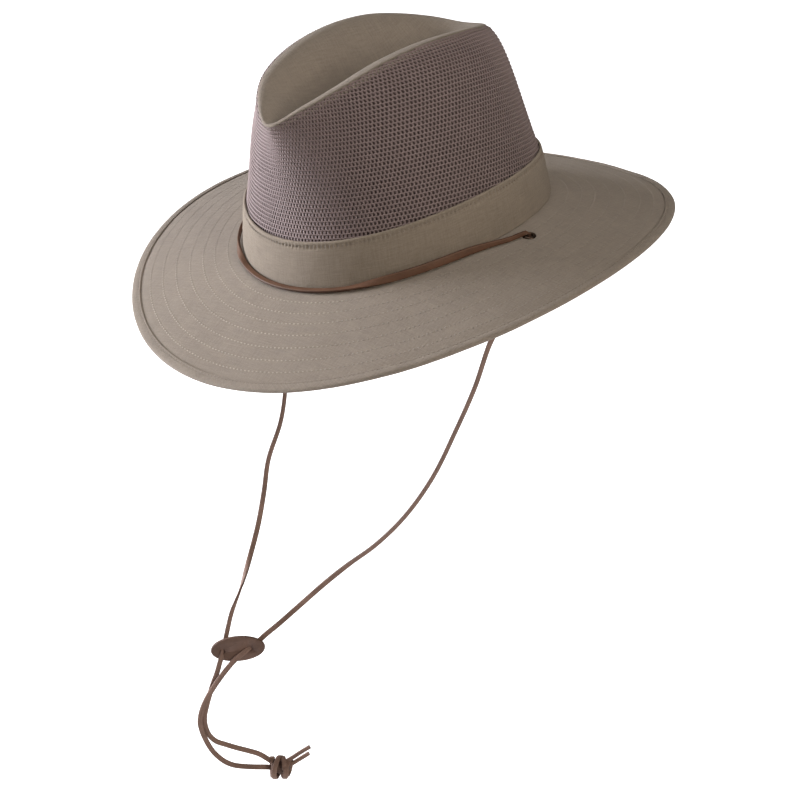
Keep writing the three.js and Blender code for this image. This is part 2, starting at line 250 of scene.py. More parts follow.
# How far the brim arches up between its edges, the canvas's thickness, and how far the net lies inside
# the band.
BRIM_ARCH = 1
BRIM_WIDTH = EDGE.half_width - FOOT.half_width
CANVAS = 1.2
NET_INSET = 1.5

# Rings of stitches, as shares of the brim's width from the crown's foot.
STITCH_RINGS = (0.135, 0.25, 0.355, 0.472, 0.596, 0.717, 0.828)

# Half the height of a stitch, as a share of its width, and how far it stands off the brim, in metres.
STITCH_HALF_HEIGHT = 0.36
STITCH_LIFT = 0.00002

# The lace holes: degrees from the front, share of the brim's width, and radius.
HOLE_ANGLE = 90.86
HOLE_OUT = 0.163
HOLE_RADIUS = 2.9

# The way to the part of the brim where the thread shows its light colour, and how nearly a stitch has to lie
# that way to show some of that colour, or all of it. The light colour is painted light for the low key light
# catching the raised stitches on the front; elsewhere the thread takes the canvas's colour.
PAINTED_LIGHT_SIDE = (-0.16, -0.987, 0)
PAINTED_LIGHT_SOME = 0.77
PAINTED_LIGHT_ALL = 0.94

# The colour of a lace's cut edges, the shares of its strip between which they fade out, and how much of
# their colour shows.
CUT_LEATHER = (0.038, 0.02, 0.014, 1)
CUT_FROM = 0.08
CUT_TO = 0.2
CUT_SHARE = 0.6

# Where the front lace lies: degrees from the front, and its share of the brim's width.
FRONT_LACE = (
    (84.5, 0.108), (78.5, 0.064), (72, 0.036), (65, 0.025), (52, 0.024), (39, 0.024), (26, 0.024),
    (13, 0.024),
)
FRONT_LACE_MIDDLE = 0.024

# Routes of the hanging laces, in metres, from their holes in the brim to the knot.
LACE_LEFT = (
    (0.0995, 0.002, 0.002), (0.0995, 0.002, -0.0045), (0.0995, 0.002, -0.0145), (0.09, 0, -0.034),
    (0.0795, -0.0025, -0.05), (0.0675, -0.0045, -0.0685), (0.0505, -0.005, -0.104),
    (0.0325, -0.0065, -0.137), (0.011, -0.0105, -0.175), (-0.011, -0.0175, -0.206),
    (-0.033, -0.0255, -0.2295), (-0.052, -0.0345, -0.2455), (-0.0665, -0.044, -0.259),
    (-0.081, -0.0555, -0.274), (-0.0905, -0.068, -0.2845), (-0.0975, -0.076, -0.2915),
    (-0.1005, -0.0805, -0.295), (-0.103, -0.085, -0.297), (-0.105, -0.09, -0.2995),
    (-0.109, -0.095, -0.3035), (-0.1125, -0.0995, -0.3085), (-0.117, -0.104, -0.3155),
    (-0.122, -0.1085, -0.324), (-0.1265, -0.112, -0.3325), (-0.13, -0.1145, -0.341),
    (-0.132, -0.116, -0.3495), (-0.1325, -0.1155, -0.357), (-0.1315, -0.1145, -0.3645),
    (-0.13, -0.1125, -0.373), (-0.128, -0.11, -0.3795), (-0.1245, -0.107, -0.385),
    (-0.1205, -0.103, -0.389), (-0.1155, -0.0985, -0.391), (-0.11, -0.0935, -0.3925),
    (-0.105, -0.089, -0.3935), (-0.101, -0.0855, -0.3945),
)
LACE_RIGHT = (
    (-0.0995, 0.002, 0.002), (-0.0995, 0.002, -0.0045), (-0.0995, 0.002, -0.0145),
    (-0.1035, 0.001, -0.037), (-0.1045, -0.0025, -0.071), (-0.104, -0.009, -0.1045),
    (-0.1035, -0.018, -0.1375), (-0.1045, -0.025, -0.156), (-0.1085, -0.0375, -0.1795),
    (-0.1085, -0.046, -0.1995), (-0.1095, -0.0545, -0.2195), (-0.1115, -0.0655, -0.241),
    (-0.114, -0.076, -0.2605), (-0.117, -0.0845, -0.275), (-0.1165, -0.091, -0.2845),
    (-0.1175, -0.093, -0.2905), (-0.1175, -0.095, -0.2945), (-0.1175, -0.0975, -0.2975),
    (-0.1175, -0.0995, -0.3015), (-0.1185, -0.1015, -0.3065), (-0.1205, -0.1035, -0.3135),
    (-0.124, -0.1055, -0.322), (-0.1265, -0.1075, -0.3295), (-0.129, -0.11, -0.3385),
    (-0.131, -0.112, -0.347), (-0.132, -0.112, -0.3555), (-0.131, -0.111, -0.363),
    (-0.128, -0.1085, -0.3685), (-0.1235, -0.1045, -0.372), (-0.118, -0.1, -0.3755),
    (-0.1125, -0.095, -0.379), (-0.107, -0.091, -0.382), (-0.1035, -0.088, -0.386),
    (-0.1005, -0.0855, -0.39),
)
TAIL_UPPER = (
    (-0.0925, -0.08, -0.3895), (-0.089, -0.077, -0.387), (-0.084, -0.0735, -0.383),
    (-0.0785, -0.0695, -0.379),
)
TAIL_LOWER = (
    (-0.093, -0.078, -0.3945), (-0.09, -0.075, -0.3925), (-0.0865, -0.071, -0.39),
    (-0.0825, -0.0675, -0.387),
)

# The slide's middle, how far it is turned from the front to the wearer's left, and its holes' radius.
SLIDE_CENTRE = Vector((-0.1095, -0.091, -0.2975))
SLIDE_FACING = 40
SLIDE_HOLE = 0.0016

# The knot's middle, and the way along it.
KNOT_CENTRE = Vector((-0.0967, -0.0822, -0.3949))
KNOT_AXIS = Vector((0.75, 0.64, -0.17)).normalized()

# The camera that the form was fitted to.
CAMERA_PLACE = Vector((0.9276, -0.9976, 0.5525))
CAMERA_FORWARD = Vector((-0.61609, 0.64975, -0.44526))
CAMERA_RIGHT = Vector((0.7593, 0.64026, -0.11631))
CAMERA_LENS = 108.3


class Light(NamedTuple):
    """A soft square light: degrees round the hat from its front, degrees up, power, side and colour."""

    name: str
    azimuth: float
    elevation: float
    power: float
    side: float
    colour: tuple


LIGHTS = (
    Light("key", -65, 12, 162, 1.6, (1, 0.995, 1.03)),
    Light("side", 80, 26, 36, 1.3, (1, 0.9, 0.78)),
    Light("top", 0, 89, 25, 1.6, (1, 0.95, 0.9)),
)
LIGHT_DISTANCE = 3
LIGHT_AIM = Vector((0, 0, -0.05))

# The room's light on the hat, and how white the stage's floor is to the camera and how far it reaches.
ROOM_LIGHT = 0.03
STAGE_WHITE = 0.95
STAGE_REACH = 12


# What a user would change

def length_setting(name, description, default):
    return bpy.props.FloatProperty(
        name=name, description=description, default=default, subtype="DISTANCE", precision=5)


def colour_setting(name, description, default):
    return bpy.props.FloatVectorProperty(
        name=name, description=description, default=default, subtype="COLOR", size=3)


class HatSizes(bpy.types.PropertyGroup):
    """Sizes of the cloth, net and stitches."""

    net_columns: bpy.props.IntProperty(
        name="Net columns", description="Holes in one round of the net", default=230, min=60)
    net_row: length_setting("Net row", "Height of one row of holes", 0.00254)
    net_thread: length_setting("Net thread", "Width of the net's threads", 0.00115)
    weave: length_setting("Weave", "Distance between the canvas's threads", 0.0005)
    stitch_pitch: length_setting("Stitch pitch", "From one stitch to the next", 0.0027)
    stitch_length: length_setting("Stitch length", "Length of the thread that shows", 0.0014)
    stitch_width: length_setting("Stitch width", "Thickness of the thread", 0.0009)


class LaceSizes(bpy.types.PropertyGroup):
    """Sizes of the chin lace and its slide."""

    width: length_setting("Lace width", "Width of the flat lace", 0.0036)
    thickness: length_setting("Lace thickness", "Thickness of the flat lace", 0.0018)
    slide_length: length_setting("Slide length", "Length of the oval slide", 0.0365)
    slide_height: length_setting("Slide height", "Height of the oval slide", 0.0188)
    slide_thickness: length_setting("Slide thickness", "Thickness of the slide's leather", 0.0026)


class HatColours(bpy.types.PropertyGroup):
    """Colours of the finishes, as linear light."""

    canvas: colour_setting("Canvas", "Brim and crown tip", (0.36, 0.315, 0.275))
    band: colour_setting("Band", "Band round the crown", (0.35, 0.3, 0.25))
    # A dark sheet behind the net: painted shade standing in for the shaded inside of the crown seen through the net's
    # holes.
    painted_shade_sheet: colour_setting("Scrim", "Fine dark cloth behind the net", (0.205, 0.166, 0.164))
    net: colour_setting("Net", "Net of the crown wall", (0.3, 0.235, 0.236))
    # The thread's light colour is painted light: it shows only on the front of the brim, where the key light catches
    # the stitches.
    thread: colour_setting("Thread", "Thread of the brim where it is clean", (0.56, 0.5, 0.425))
    brown_thread: colour_setting("Brown thread", "Thread of the seams", (0.27, 0.225, 0.185))
    lace: colour_setting("Lace", "Leather of the front lace", (0.12, 0.062, 0.038))
    # The hanging laces are the front lace's leather, coloured lighter as painted light standing in for light bounced
    # up from the pale floor.
    bounce_lit_lace: colour_setting("Worn lace", "Leather of the hanging laces", (0.21, 0.132, 0.103))
    slide: colour_setting("Slide", "Leather of the slide", (0.14, 0.085, 0.065))
    metal: colour_setting("Metal", "Metal of the eyelets", (0.05, 0.04, 0.034))
    floor: colour_setting("Floor", "Floor that the hat is seen over", (0.9, 0.9, 0.9))


# Shares and distances

def clamped(share):
    return min(1.0, max(0.0, share))


def eased(share):
    """A share between 0 and 1 that leaves and arrives gently."""
    share = clamped(share)
    return share * share * (3 - 2 * share)


def distances(points):
    """How far along the line through the points each of them lies."""
    walked = [0.0]
    for before, after in zip(points, points[1:]):
        walked.append(walked[-1] + (after - before).length)
    return walked


def places_along(walked, wanted):
    """The stretch of a line that holds each wanted distance, in order, and the share of that stretch."""
    index = 0
    for distance in wanted:
        while index < len(walked) - 2 and walked[index + 1] < distance:
            index += 1
        yield index, (distance - walked[index]) / max(walked[index + 1] - walked[index], SMALLEST)


# The form as functions, in metres

def ring_point(ring, angle, inset=0.0):
    side = math.sin(angle)
    front = math.cos(angle)
    fall = ring.rise * math.cos(2 * angle) + ring.dip * front
    x = (ring.half_width - inset) * side
    y = ring.shift - (ring.half_length - inset) * front
    return Vector((x, y, ring.height - fall)) * MM


def crest_value(column, angle):
    """One column of the crest's table at any angle, smooth, and mirrored to the wearer's right."""
    last = len(CREST) - 1
    place = math.degrees(angle) / CREST_STEP
    low = math.floor(place)
    values = []
    for index in range(low - 1, low + 3):
        wrapped = index % (2 * last)
        mirrored = wrapped > last
        value = getattr(CREST[2 * last - wrapped if mirrored else wrapped], column)
        values.append(-value if mirrored and column == "half_width" else value)
    a, b, c, d = values
    t = place - low
    curve = (2 * a - 5 * b + 4 * c - d) * t * t + (3 * b - a - 3 * c + d) * t ** 3
    return 0.5 * (2 * b + (c - a) * t + curve)


@functools.lru_cache(maxsize=None)
def crown_column(angle):
    """The corners of the wall's and the dent's curves at one angle, and the level way out."""
    top = Vector([crest_value(name, angle) for name in ("half_width", "along", "height")]) * MM
    low = ring_point(BAND_TOP, angle, NET_INSET)
    floor = ring_point(FLOOR, angle)
    out = Vector((top.x - floor.x, top.y - floor.y, 0)).normalized()
    reach = (top.z - low.z) * WALL_HANDLE
    lean = Vector((low.x, low.y, 0)).normalized() * (-WALL_LEAN * reach)
    rising = low + lean + Vector((0, 0, reach))
    arriving = top + out * (crest_value("outer", angle) * MM)
    run = math.hypot(top.x - floor.x, top.y - floor.y)
    leaving = top - out * (crest_value("inner", angle) * MM)
    landing = floor + out * (run * FLOOR_HANDLE)
    return (low, rising, arriving, top), (top, leaving, landing, floor), out


def bezier(points, t):
    a, b, c, d = points
    s = 1 - t
    return a * (s ** 3) + b * (3 * s * s * t) + c * (3 * s * t * t) + d * (t ** 3)


def pinch_depth(angle, level):
    turned = abs((math.degrees(angle) + 180) % 360 - 180)
    aside = ((turned - PINCH_ANGLE) / PINCH_SPREAD) ** 2
    above = ((level - PINCH_LEVEL) / PINCH_TALL) ** 2
    fading = 1 - max(0.0, level) ** PINCH_FADE
    return PINCH_DEPTH * MM * math.exp(-aside - above) * fading


def wall_point(angle, level):
    wall, _, out = crown_column(angle)
    return bezier(wall, level) - out * pinch_depth(angle, level)


def dent_point(angle, level):
    _, dent, _ = crown_column(angle)
    return bezier(dent, level)


@functools.lru_cache(maxsize=None)
def wall_walk(angle):
    """Distances along the wall from the band's top, one for each level."""
    steps = 48
    return distances([wall_point(angle, step / steps) for step in range(steps + 1)])


def level_at(angle, distance):
    walked = wall_walk(angle)
    steps = len(walked) - 1
    index = min(steps, max(1, bisect.bisect_left(walked, distance))) - 1
    share = (distance - walked[index]) / (walked[index + 1] - walked[index])
    return clamped((index + share) / steps)


def tip_surface(angle, row):
    """The tip's canvas, without its thickness.

    Row -1 is the edge of the seam allowance, 0 the crest, 1 the rim of the dent's floor, 2 its middle line.
    """
    if row < 0:
        allowance = crest_value("seam", angle) * MM
        return wall_point(angle, level_at(angle, wall_walk(angle)[-1] + allowance * row))
    if row <= 1:
        return dent_point(angle, row)
    share = row - 1
    inner = FLOOR._replace(
        half_width=FLOOR.half_width * (1 - share),
        half_length=FLOOR.half_length * (1 - FLOOR_TAPER * share),
        height=FLOOR.height - FLOOR_SAG * share,
    )
    return ring_point(inner, angle)


def net_surface(angle, distance):
    """The net's place by its distance from the band's top."""
    if distance >= 0:
        return wall_point(angle, level_at(angle, distance))
    share = -distance / (BAND_TOP.height * MM)
    return ring_point(BAND_TOP, angle, NET_INSET).lerp(ring_point(FOOT, angle, NET_INSET), share)


def band_surface(angle, row):
    return ring_point(FOOT, angle).lerp(ring_point(BAND_TOP, angle), row)


def brim_surface(angle, out):
    point = ring_point(FOOT, angle).lerp(ring_point(EDGE, angle), out)
    point.z += BRIM_ARCH * MM * 4 * out * (1 - out)
    return point


def normal_at(surface, angle, row, low=-math.inf, high=math.inf, step=0.01):
    """The unit normal on the outer, upper side of a surface. Its rows are only read from low to high."""
    turn = 0.01
    along = surface(angle + turn, row) - surface(angle - turn, row)
    up = surface(angle, min(high, row + step)) - surface(angle, max(low, row - step))
    return along.cross(up).normalized()


def brim_normal(angle, out):
    return -normal_at(brim_surface, angle, out)


def unevenness(point, size, height):
    """Soft waves of the given size, up to the given height either way."""
    return noise.noise(point / size) * height


# Meshes

def wrapped(columns, rows, place, cloth):
    """A grid round the hat, its seams closed, with the flat cloth as its UV map.

    place gives where the corner at an angle and row lies, and cloth where it lies on the flat cloth.
    """
    digits = 9
    bm = bmesh.new()
    layer = bm.loops.layers.uv.new(CLOTH_UV)
    bmesh.ops.create_grid(bm, x_segments=columns, y_segments=rows, size=0.5)
    spots = {v: ((v.co.x + 0.5) * TURN, round((v.co.y + 0.5) * rows)) for v in bm.verts}
    for face in bm.faces:
        for loop in face.loops:
            loop[layer].uv = cloth(*spots[loop.vert])
    for v, (angle, row) in spots.items():
        v.co = place(round(angle, digits) % round(TURN, digits), row)
    bmesh.ops.remove_doubles(bm, verts=bm.verts, dist=WELD)
    bmesh.ops.dissolve_degenerate(bm, edges=bm.edges, dist=WELD)
    bmesh.ops.recalc_face_normals(bm, faces=bm.faces)
    return bm


def new_piece(name, bm, material, slot, nodes=(), sharp=50):
    """A finished piece from a bmesh: smooth but for sharp corners, riding on the hat."""
    limit = math.radians(sharp)
    for face in bm.faces:
        face.smooth = True
    for edge in bm.edges:
        edge.smooth = not edge.is_manifold or edge.calc_face_angle(0) < limit
    mesh = bpy.data.meshes.new(name)
    bm.to_mesh(mesh)
    bm.free()
    mesh.materials.append(material)
    piece = bpy.data.objects.new(name, mesh)
    bpy.context.scene.collection.objects.link(piece)
    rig.ride(piece, "root")
    if nodes:
        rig.replaces(piece, *nodes)
    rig.slot(piece, slot)
    return piece


def joined(parts):
    """One bmesh from several, which are freed."""
    whole = bmesh.new()
    for part in parts:
        mesh = bpy.data.meshes.new("part")
        part.to_mesh(mesh)
        part.free()
        whole.from_mesh(mesh)
        bpy.data.meshes.remove(mesh)
    return whole


def round_cutter(radius, length, matrix):
    bm = bmesh.new()
    bmesh.ops.create_cone(
        bm, cap_ends=True, segments=32, radius1=radius, radius2=radius, depth=length, matrix=matrix)
    return bm


def carve(piece, cutters):
    """Cuts closed bmeshes out of a piece."""
    for cutter_bm in cutters:
        bmesh.ops.recalc_face_normals(cutter_bm, faces=cutter_bm.faces)
        mesh = bpy.data.meshes.new("cutter")
        cutter_bm.to_mesh(mesh)
        cutter_bm.free()
        cutter = bpy.data.objects.new("cutter", mesh)
        bpy.context.scene.collection.objects.link(cutter)
        cut = piece.modifiers.new("hole", "BOOLEAN")
        cut.operation = "DIFFERENCE"
        cut.solver = "EXACT"
        cut.object = cutter
        seen = piece.evaluated_get(bpy.context.evaluated_depsgraph_get())
        carved = bpy.data.meshes.new_from_object(seen)
        piece.modifiers.clear()
        piece.data = carved
        bpy.data.objects.remove(cutter)


def route(points, step):
    """Evenly spaced points on the smooth curve through the given ones."""
    between = 24
    fewest = 4
    given = [Vector(p) for p in points]
    given = [given[0] * 2 - given[1], *given, given[-1] * 2 - given[-2]]
    fine = []
    for p0, p1, p2, p3 in zip(given, given[1:], given[2:], given[3:]):
        t0, t1, t2 = ((q - p).length ** 0.5 for p, q in ((p0, p1), (p1, p2), (p2, p3)))
        leave = ((p1 - p0) / t0 - (p2 - p0) / (t0 + t1) + (p2 - p1) / t1) * t1
        arrive = ((p2 - p1) / t1 - (p3 - p1) / (t1 + t2) + (p3 - p2) / t2) * t1
        for index in range(between):
            t = index / between
            fine.append(
                p1 * (2 * t ** 3 - 3 * t * t + 1) + leave * (t ** 3 - 2 * t * t + t)
                + p2 * (3 * t * t - 2 * t ** 3) + arrive * (t ** 3 - t * t)
            )
    fine.append(given[-2])
    walked = distances(fine)
    count = max(fewest, round(walked[-1] / step))
    wanted = [walked[-1] * number / count for number in range(count + 1)]
    return [
        fine[index].lerp(fine[index + 1], min(1.0, share)) for index, share in places_along(walked, wanted)]


def blended(marks, share):
    """A direction between marks, each a share of the way and a direction."""
    for (low, before), (high, after) in zip(marks, marks[1:]):
        if share <= high:
            return Vector(before).lerp(Vector(after), eased((share - low) / (high - low)))
    return Vector(marks[-1][1])


def twisted(line, marks):
    """The way the flat side looks at even shares of the line, from twists relative to the camera's view."""
    looks = []
    steps = 60
    last = len(line) - 1
    for index in range(steps + 1):
        share = index / steps
        place = min(last - 1, max(1, round(share * last)))
        tangent = (line[place + 1] - line[place - 1]).normalized()
        turn = math.radians(blended([(low, (degrees, 0, 0)) for low, degrees in marks], share).x)
        viewer = -CAMERA_FORWARD
        looks.append((share, viewer * math.cos(turn) + tangent.cross(viewer) * math.sin(turn)))
    return looks


def ribbon(line, width, thickness, facing, spread=None):
    """A closed flat lace along a line. facing gives the way its flat side looks, by share of the way.

    spread, a function of the point, gives how much wider the lace is there.
    """
    sides = 16
    # Below 1, this power turns the round section into one with flatter sides.
    square = 0.55
    bm = bmesh.new()
    layer = bm.loops.layers.uv.new(CLOTH_UV)
    steps = len(line) - 1
    bmesh.ops.create_grid(bm, x_segments=steps, y_segments=sides, size=0.5)
    spots = {v: (round((v.co.x + 0.5) * steps), (v.co.y + 0.5) * TURN) for v in bm.verts}
    length = distances(line)[-1]
    for face in bm.faces:
        for loop in face.loops:
            step, turn = spots[loop.vert]
            loop[layer].uv = (length * step / steps, turn / TURN * 2 * (width + thickness))
    for v, (step, turn) in spots.items():
        tangent = (line[min(steps, step + 1)] - line[max(0, step - 1)]).normalized()
        look = blended(facing, step / steps)
        normal = (look - tangent * look.dot(tangent)).normalized()
        aside = tangent.cross(normal)
        across = math.copysign(abs(math.cos(turn)) ** square, math.cos(turn)) * width / 2
        up = math.copysign(abs(math.sin(turn)) ** square, math.sin(turn)) * thickness / 2
        if spread:
            across *= spread(line[step])
        v.co = line[step] + aside * across + normal * up
    bmesh.ops.remove_doubles(bm, verts=bm.verts, dist=WELD)
    bmesh.ops.holes_fill(bm, edges=[e for e in bm.edges if e.is_boundary], sides=0)
    bmesh.ops.recalc_face_normals(bm, faces=bm.faces)
    return bm


def stitch_ring(point_at, normal_of, sizes, count=0):
    """Stitches along a ring round the hat, each a small closed lozenge of thread.

    Without a count, there are as many as the stitches' pitch asks for.
    """
    samples = 720
    angles = [TURN * index / samples for index in range(samples + 1)]
    points = [point_at(angle) for angle in angles]
    walked = distances(points)
    count = count or round(walked[-1] / sizes.stitch_pitch)
    wanted = [walked[-1] * (number + 0.5) / count for number in range(count)]
    bm = bmesh.new()
    for index, share in places_along(walked, wanted):
        tangent = (points[index + 1] - points[index]).normalized()
        aside = normal_of(angles[index]).cross(tangent).normalized()
        place = Matrix((
            tangent * sizes.stitch_length / 2,
            aside * sizes.stitch_width / 2,
            tangent.cross(aside) * sizes.stitch_width * STITCH_HALF_HEIGHT,
        )).transposed().to_4x4()
        place.translation = points[index].lerp(points[index + 1], share)
        bmesh.ops.create_icosphere(bm, subdivisions=1, radius=1, matrix=place)
    return bm


# Materials

def add(tree, kind, settings=None, **inputs):
    """A new node. Its inputs are named as in the editor, with _ for a space."""
    made = tree.nodes.new(kind)
    for name, value in (settings or {}).items():
        setattr(made, name, value)
    for name, value in inputs.items():
        connect(tree, value, made.inputs[name.replace("_", " ")])
    return made


def connect(tree, value, socket):
    if isinstance(value, bpy.types.NodeSocket):
        tree.links.new(value, socket)
    elif isinstance(value, tuple):
        socket.default_value = value[:len(socket.default_value)]
    else:
        socket.default_value = value


def operated(tree, kind, operation, *values):
    """A new node of that kind and operation, its inputs filled in order."""
    made = add(tree, kind, {"operation": operation})
    for value, socket in zip(values, made.inputs):
        connect(tree, value, socket)
    return made


def calculate(tree, operation, *values):
    return operated(tree, "ShaderNodeMath", operation, *values).outputs[0]


def smooth_step(tree, value, low, high, at_low=0.0, at_high=1.0):
    """Goes gently from at_low to at_high where the value goes from low to high."""
    made = add(
        tree, "ShaderNodeMapRange", {"interpolation_type": "SMOOTHSTEP"},
        Value=value, From_Min=low, From_Max=high, To_Min=at_low, To_Max=at_high)
    return made.outputs[0]


def weighted(tree, base, *terms):
    """base plus each term, a value centred on 0.5 with its weight."""
    total = base
    for value, weight in terms:
        swing = calculate(tree, "MULTIPLY_ADD", value, weight, -0.5 * weight)
        total = calculate(tree, "ADD", total, swing)
    return total


def tinted(tree, colour, tone):
    made = add(tree, "ShaderNodeVectorMath", {"operation": "SCALE"}, Scale=tone)
    connect(tree, colour, made.inputs[0])
    return made.outputs[0]


def mixed(tree, share, one, other):
    made = add(tree, "ShaderNodeMix", {"data_type": "RGBA"})
    connect(tree, share, made.inputs[0])
    connect(tree, one, made.inputs[6])
    connect(tree, other, made.inputs[7])
    return made.outputs[2]


def grain(tree, vector, scale, detail=2.0):
    """Noise with the given number of grains to the metre along each axis of the vector."""
    stretch = add(tree, "ShaderNodeMapping", Vector=vector, Scale=scale)
    made = add(tree, "ShaderNodeTexNoise", Vector=stretch.outputs[0], Scale=1.0, Detail=detail)
    return made.outputs[0]


def finish_colour(part):
    """The colour that the panel gives for a part."""
    return (*getattr(bpy.context.scene.hat_colours, part), 1)


def shifted(colour, *factors):
    """A colour with its red, green and blue each multiplied by a factor of its own."""
    return (*(min(1.0, channel * factor) for channel, factor in zip(colour, factors)), 1)


def new_material(name, roughness, specular=0.5, metallic=0.0, sheen=0.0):
    material = bpy.data.materials.new(name)
    material.use_nodes = True
    tree = material.node_tree
    shader = tree.nodes["Principled BSDF"]
    shader.inputs["Roughness"].default_value = roughness
    shader.inputs["Specular IOR Level"].default_value = specular
    shader.inputs["Metallic"].default_value = metallic
    shader.inputs["Sheen Weight"].default_value = sheen
    return material, tree, shader


def flat_cloth(tree):
    """The place on the flat cloth, in metres, as a vector and its two parts."""
    place = add(tree, "ShaderNodeUVMap", {"uv_map": CLOTH_UV}).outputs[0]
    parts = add(tree, "ShaderNodeSeparateXYZ", Vector=place)
    return place, parts.outputs[0], parts.outputs[1]


def object_place(tree):
    """The place on the piece, which is its place in the hat's frame."""
    return add(tree, "ShaderNodeTexCoord").outputs["Object"]


def bumped(tree, shader, height, distance):
    bump = add(tree, "ShaderNodeBump", Height=height, Distance=distance, Strength=1.0)
    tree.links.new(bump.outputs["Normal"], shader.inputs["Normal"])


@functools.lru_cache(maxsize=None)
def canvas_material(name, part):
    """Plain-woven, washed cotton: crossing threads, thick and thin places, light and dark yarns."""
    base = finish_colour(part)
    material, tree, shader = new_material(name, roughness=0.92, specular=0.2, sheen=0.12)
    place, u, v = flat_cloth(tree)
    turns = TURN / bpy.context.scene.hat_sizes.weave
    warp, weft = (calculate(tree, "SINE", calculate(tree, "MULTIPLY", way, turns)) for way in (u, v))
    crossing = calculate(tree, "MULTIPLY_ADD", calculate(tree, "MULTIPLY", warp, weft), 0.5, 0.5)
    warp_slub = grain(tree, place, (1400, 90, 1))
    weft_slub = grain(tree, place, (90, 1400, 1))
    speckle = grain(tree, place, (900, 900, 1), detail=1)
    mottle = grain(tree, place, (45, 45, 1), detail=3)
    tone = weighted(
        tree, 1.0, (crossing, 0.14), (warp_slub, 0.34), (weft_slub, 0.3), (speckle, 0.22), (mottle, 0.14))
    cool = tinted(tree, base, 0.93)
    warm = mixed(tree, 0.5, base, shifted(base, 1.1, 1.02, 0.9))
    colour = tinted(tree, mixed(tree, weft_slub, cool, warm), tone)
    tree.links.new(colour, shader.inputs["Base Color"])
    height = weighted(tree, 0.0, (crossing, 1.0), (warp_slub, 0.9), (weft_slub, 0.9), (speckle, 0.4))
    bumped(tree, shader, height, distance=0.00016)
    return material


@functools.lru_cache(maxsize=None)
def net_material():
    """Knitted polyester: slightly shiny threads with light and dark places."""
    base = finish_colour("net")
    material, tree, shader = new_material("net threads", roughness=0.65, specular=0.3, sheen=0.1)
    place = object_place(tree)
    fine = grain(tree, place, (1500, 1500, 1500), detail=1)
    broad = grain(tree, place, (40, 40, 40))
    tone = weighted(tree, 1.0, (fine, 0.35), (broad, 0.2))
    colour = tinted(tree, mixed(tree, fine, base, shifted(base, 1.12, 1.1, 1.08)), tone)
    tree.links.new(colour, shader.inputs["Base Color"])
    bumped(tree, shader, fine, distance=0.0001)
    return material


@functools.lru_cache(maxsize=None)
def thread_material(name, part, cloth=None):
    """Sewing thread with its twist.

    With a cloth, the thread shows its light colour only on the side the key light catches, as painted
    light, and takes that cloth's colour everywhere else.
    """
    base = finish_colour(part)
    material, tree, shader = new_material(name, roughness=0.6, specular=0.4, sheen=0.3)
    place = object_place(tree)
    # Painted light: the thread keeps its light colour only where the key light catches the stitches, and takes the
    # cloth's colour elsewhere.
    if cloth:
        outwards = operated(tree, "ShaderNodeVectorMath", "NORMALIZE", place)
        towards = operated(tree, "ShaderNodeVectorMath", "DOT_PRODUCT", outwards.outputs[0], PAINTED_LIGHT_SIDE)
        lit = smooth_step(tree, towards.outputs["Value"], PAINTED_LIGHT_SOME, PAINTED_LIGHT_ALL)
        base = mixed(tree, lit, finish_colour(cloth), base)
    fine = grain(tree, place, (2500, 2500, 2500), detail=1)
    broad = grain(tree, place, (160, 160, 160))
    tone = weighted(tree, 1.0, (fine, 0.3), (broad, 0.5))
    tree.links.new(tinted(tree, base, tone), shader.inputs["Base Color"])
    bumped(tree, shader, fine, distance=0.0001)
    return material


@functools.lru_cache(maxsize=None)
def leather_material(name, part, shine, strip=0.0):
    """Waxed leather: fine grain, streaks along it and paler worn places.

    A lace's strip, its width and thickness together, shows where its dark cut edges are.
    """
    base = finish_colour(part)
    material, tree, shader = new_material(name, roughness=shine, specular=0.25)
    place = object_place(tree)
    flat, _, across = flat_cloth(tree)
    pores = grain(tree, place, (1800, 1800, 1800))
    patches = grain(tree, place, (70, 70, 70), detail=3)
    streaks = grain(tree, flat, (60, 1500, 1))
    tone = weighted(tree, 1.0, (pores, 0.3), (streaks, 0.4), (patches, 0.45))
    worn = shifted(base, 1.55, 1.6, 1.65)
    colour = tinted(tree, mixed(tree, patches, base, worn), tone)
    if strip:
        inwards = calculate(tree, "PINGPONG", across, strip / 2)
        cut = smooth_step(tree, inwards, strip * CUT_FROM, strip * CUT_TO, CUT_SHARE, 0.0)
        colour = mixed(tree, cut, colour, CUT_LEATHER)
    tree.links.new(colour, shader.inputs["Base Color"])
    rough = weighted(tree, shine, (patches, 0.25), (pores, 0.15))
    tree.links.new(rough, shader.inputs["Roughness"])
    height = weighted(tree, 0.0, (pores, 1.0), (streaks, 0.8))
    bumped(tree, shader, height, distance=0.00015)
    return material


@functools.lru_cache(maxsize=None)
def metal_material():
    """Dark bronzed metal, rubbed a little brighter in places."""
    base = finish_colour("metal")
    shine = 0.35
    material, tree, shader = new_material("dark metal", roughness=shine, metallic=0.9)
    rubbed = grain(tree, object_place(tree), (400, 400, 400), detail=3)
    bright = shifted(base, 3, 2.6, 2.2)
    tree.links.new(mixed(tree, rubbed, base, bright), shader.inputs["Base Color"])
    tree.links.new(weighted(tree, shine, (rubbed, 0.3)), shader.inputs["Roughness"])
    bumped(tree, shader, rubbed, distance=0.00005)
    return material


@functools.lru_cache(maxsize=None)
def floor_material():
    """A matt pale floor that is whiter to the camera, and so throws no extra light on the hat."""
    material, tree, shader = new_material("pale floor", roughness=0.9, specular=0.1)
    clouds = grain(tree, object_place(tree), (3, 3, 3))
    colour = tinted(tree, finish_colour("floor"), weighted(tree, 1.0, (clouds, 0.02)))
    tree.links.new(colour, shader.inputs["Base Color"])
    seen = add(tree, "ShaderNodeLightPath").outputs["Is Camera Ray"]
    connect(tree, (1, 1, 1, 1), shader.inputs["Emission Color"])
    connect(tree, calculate(tree, "MULTIPLY", seen, STAGE_WHITE), shader.inputs["Emission Strength"])
    return material


# Stage

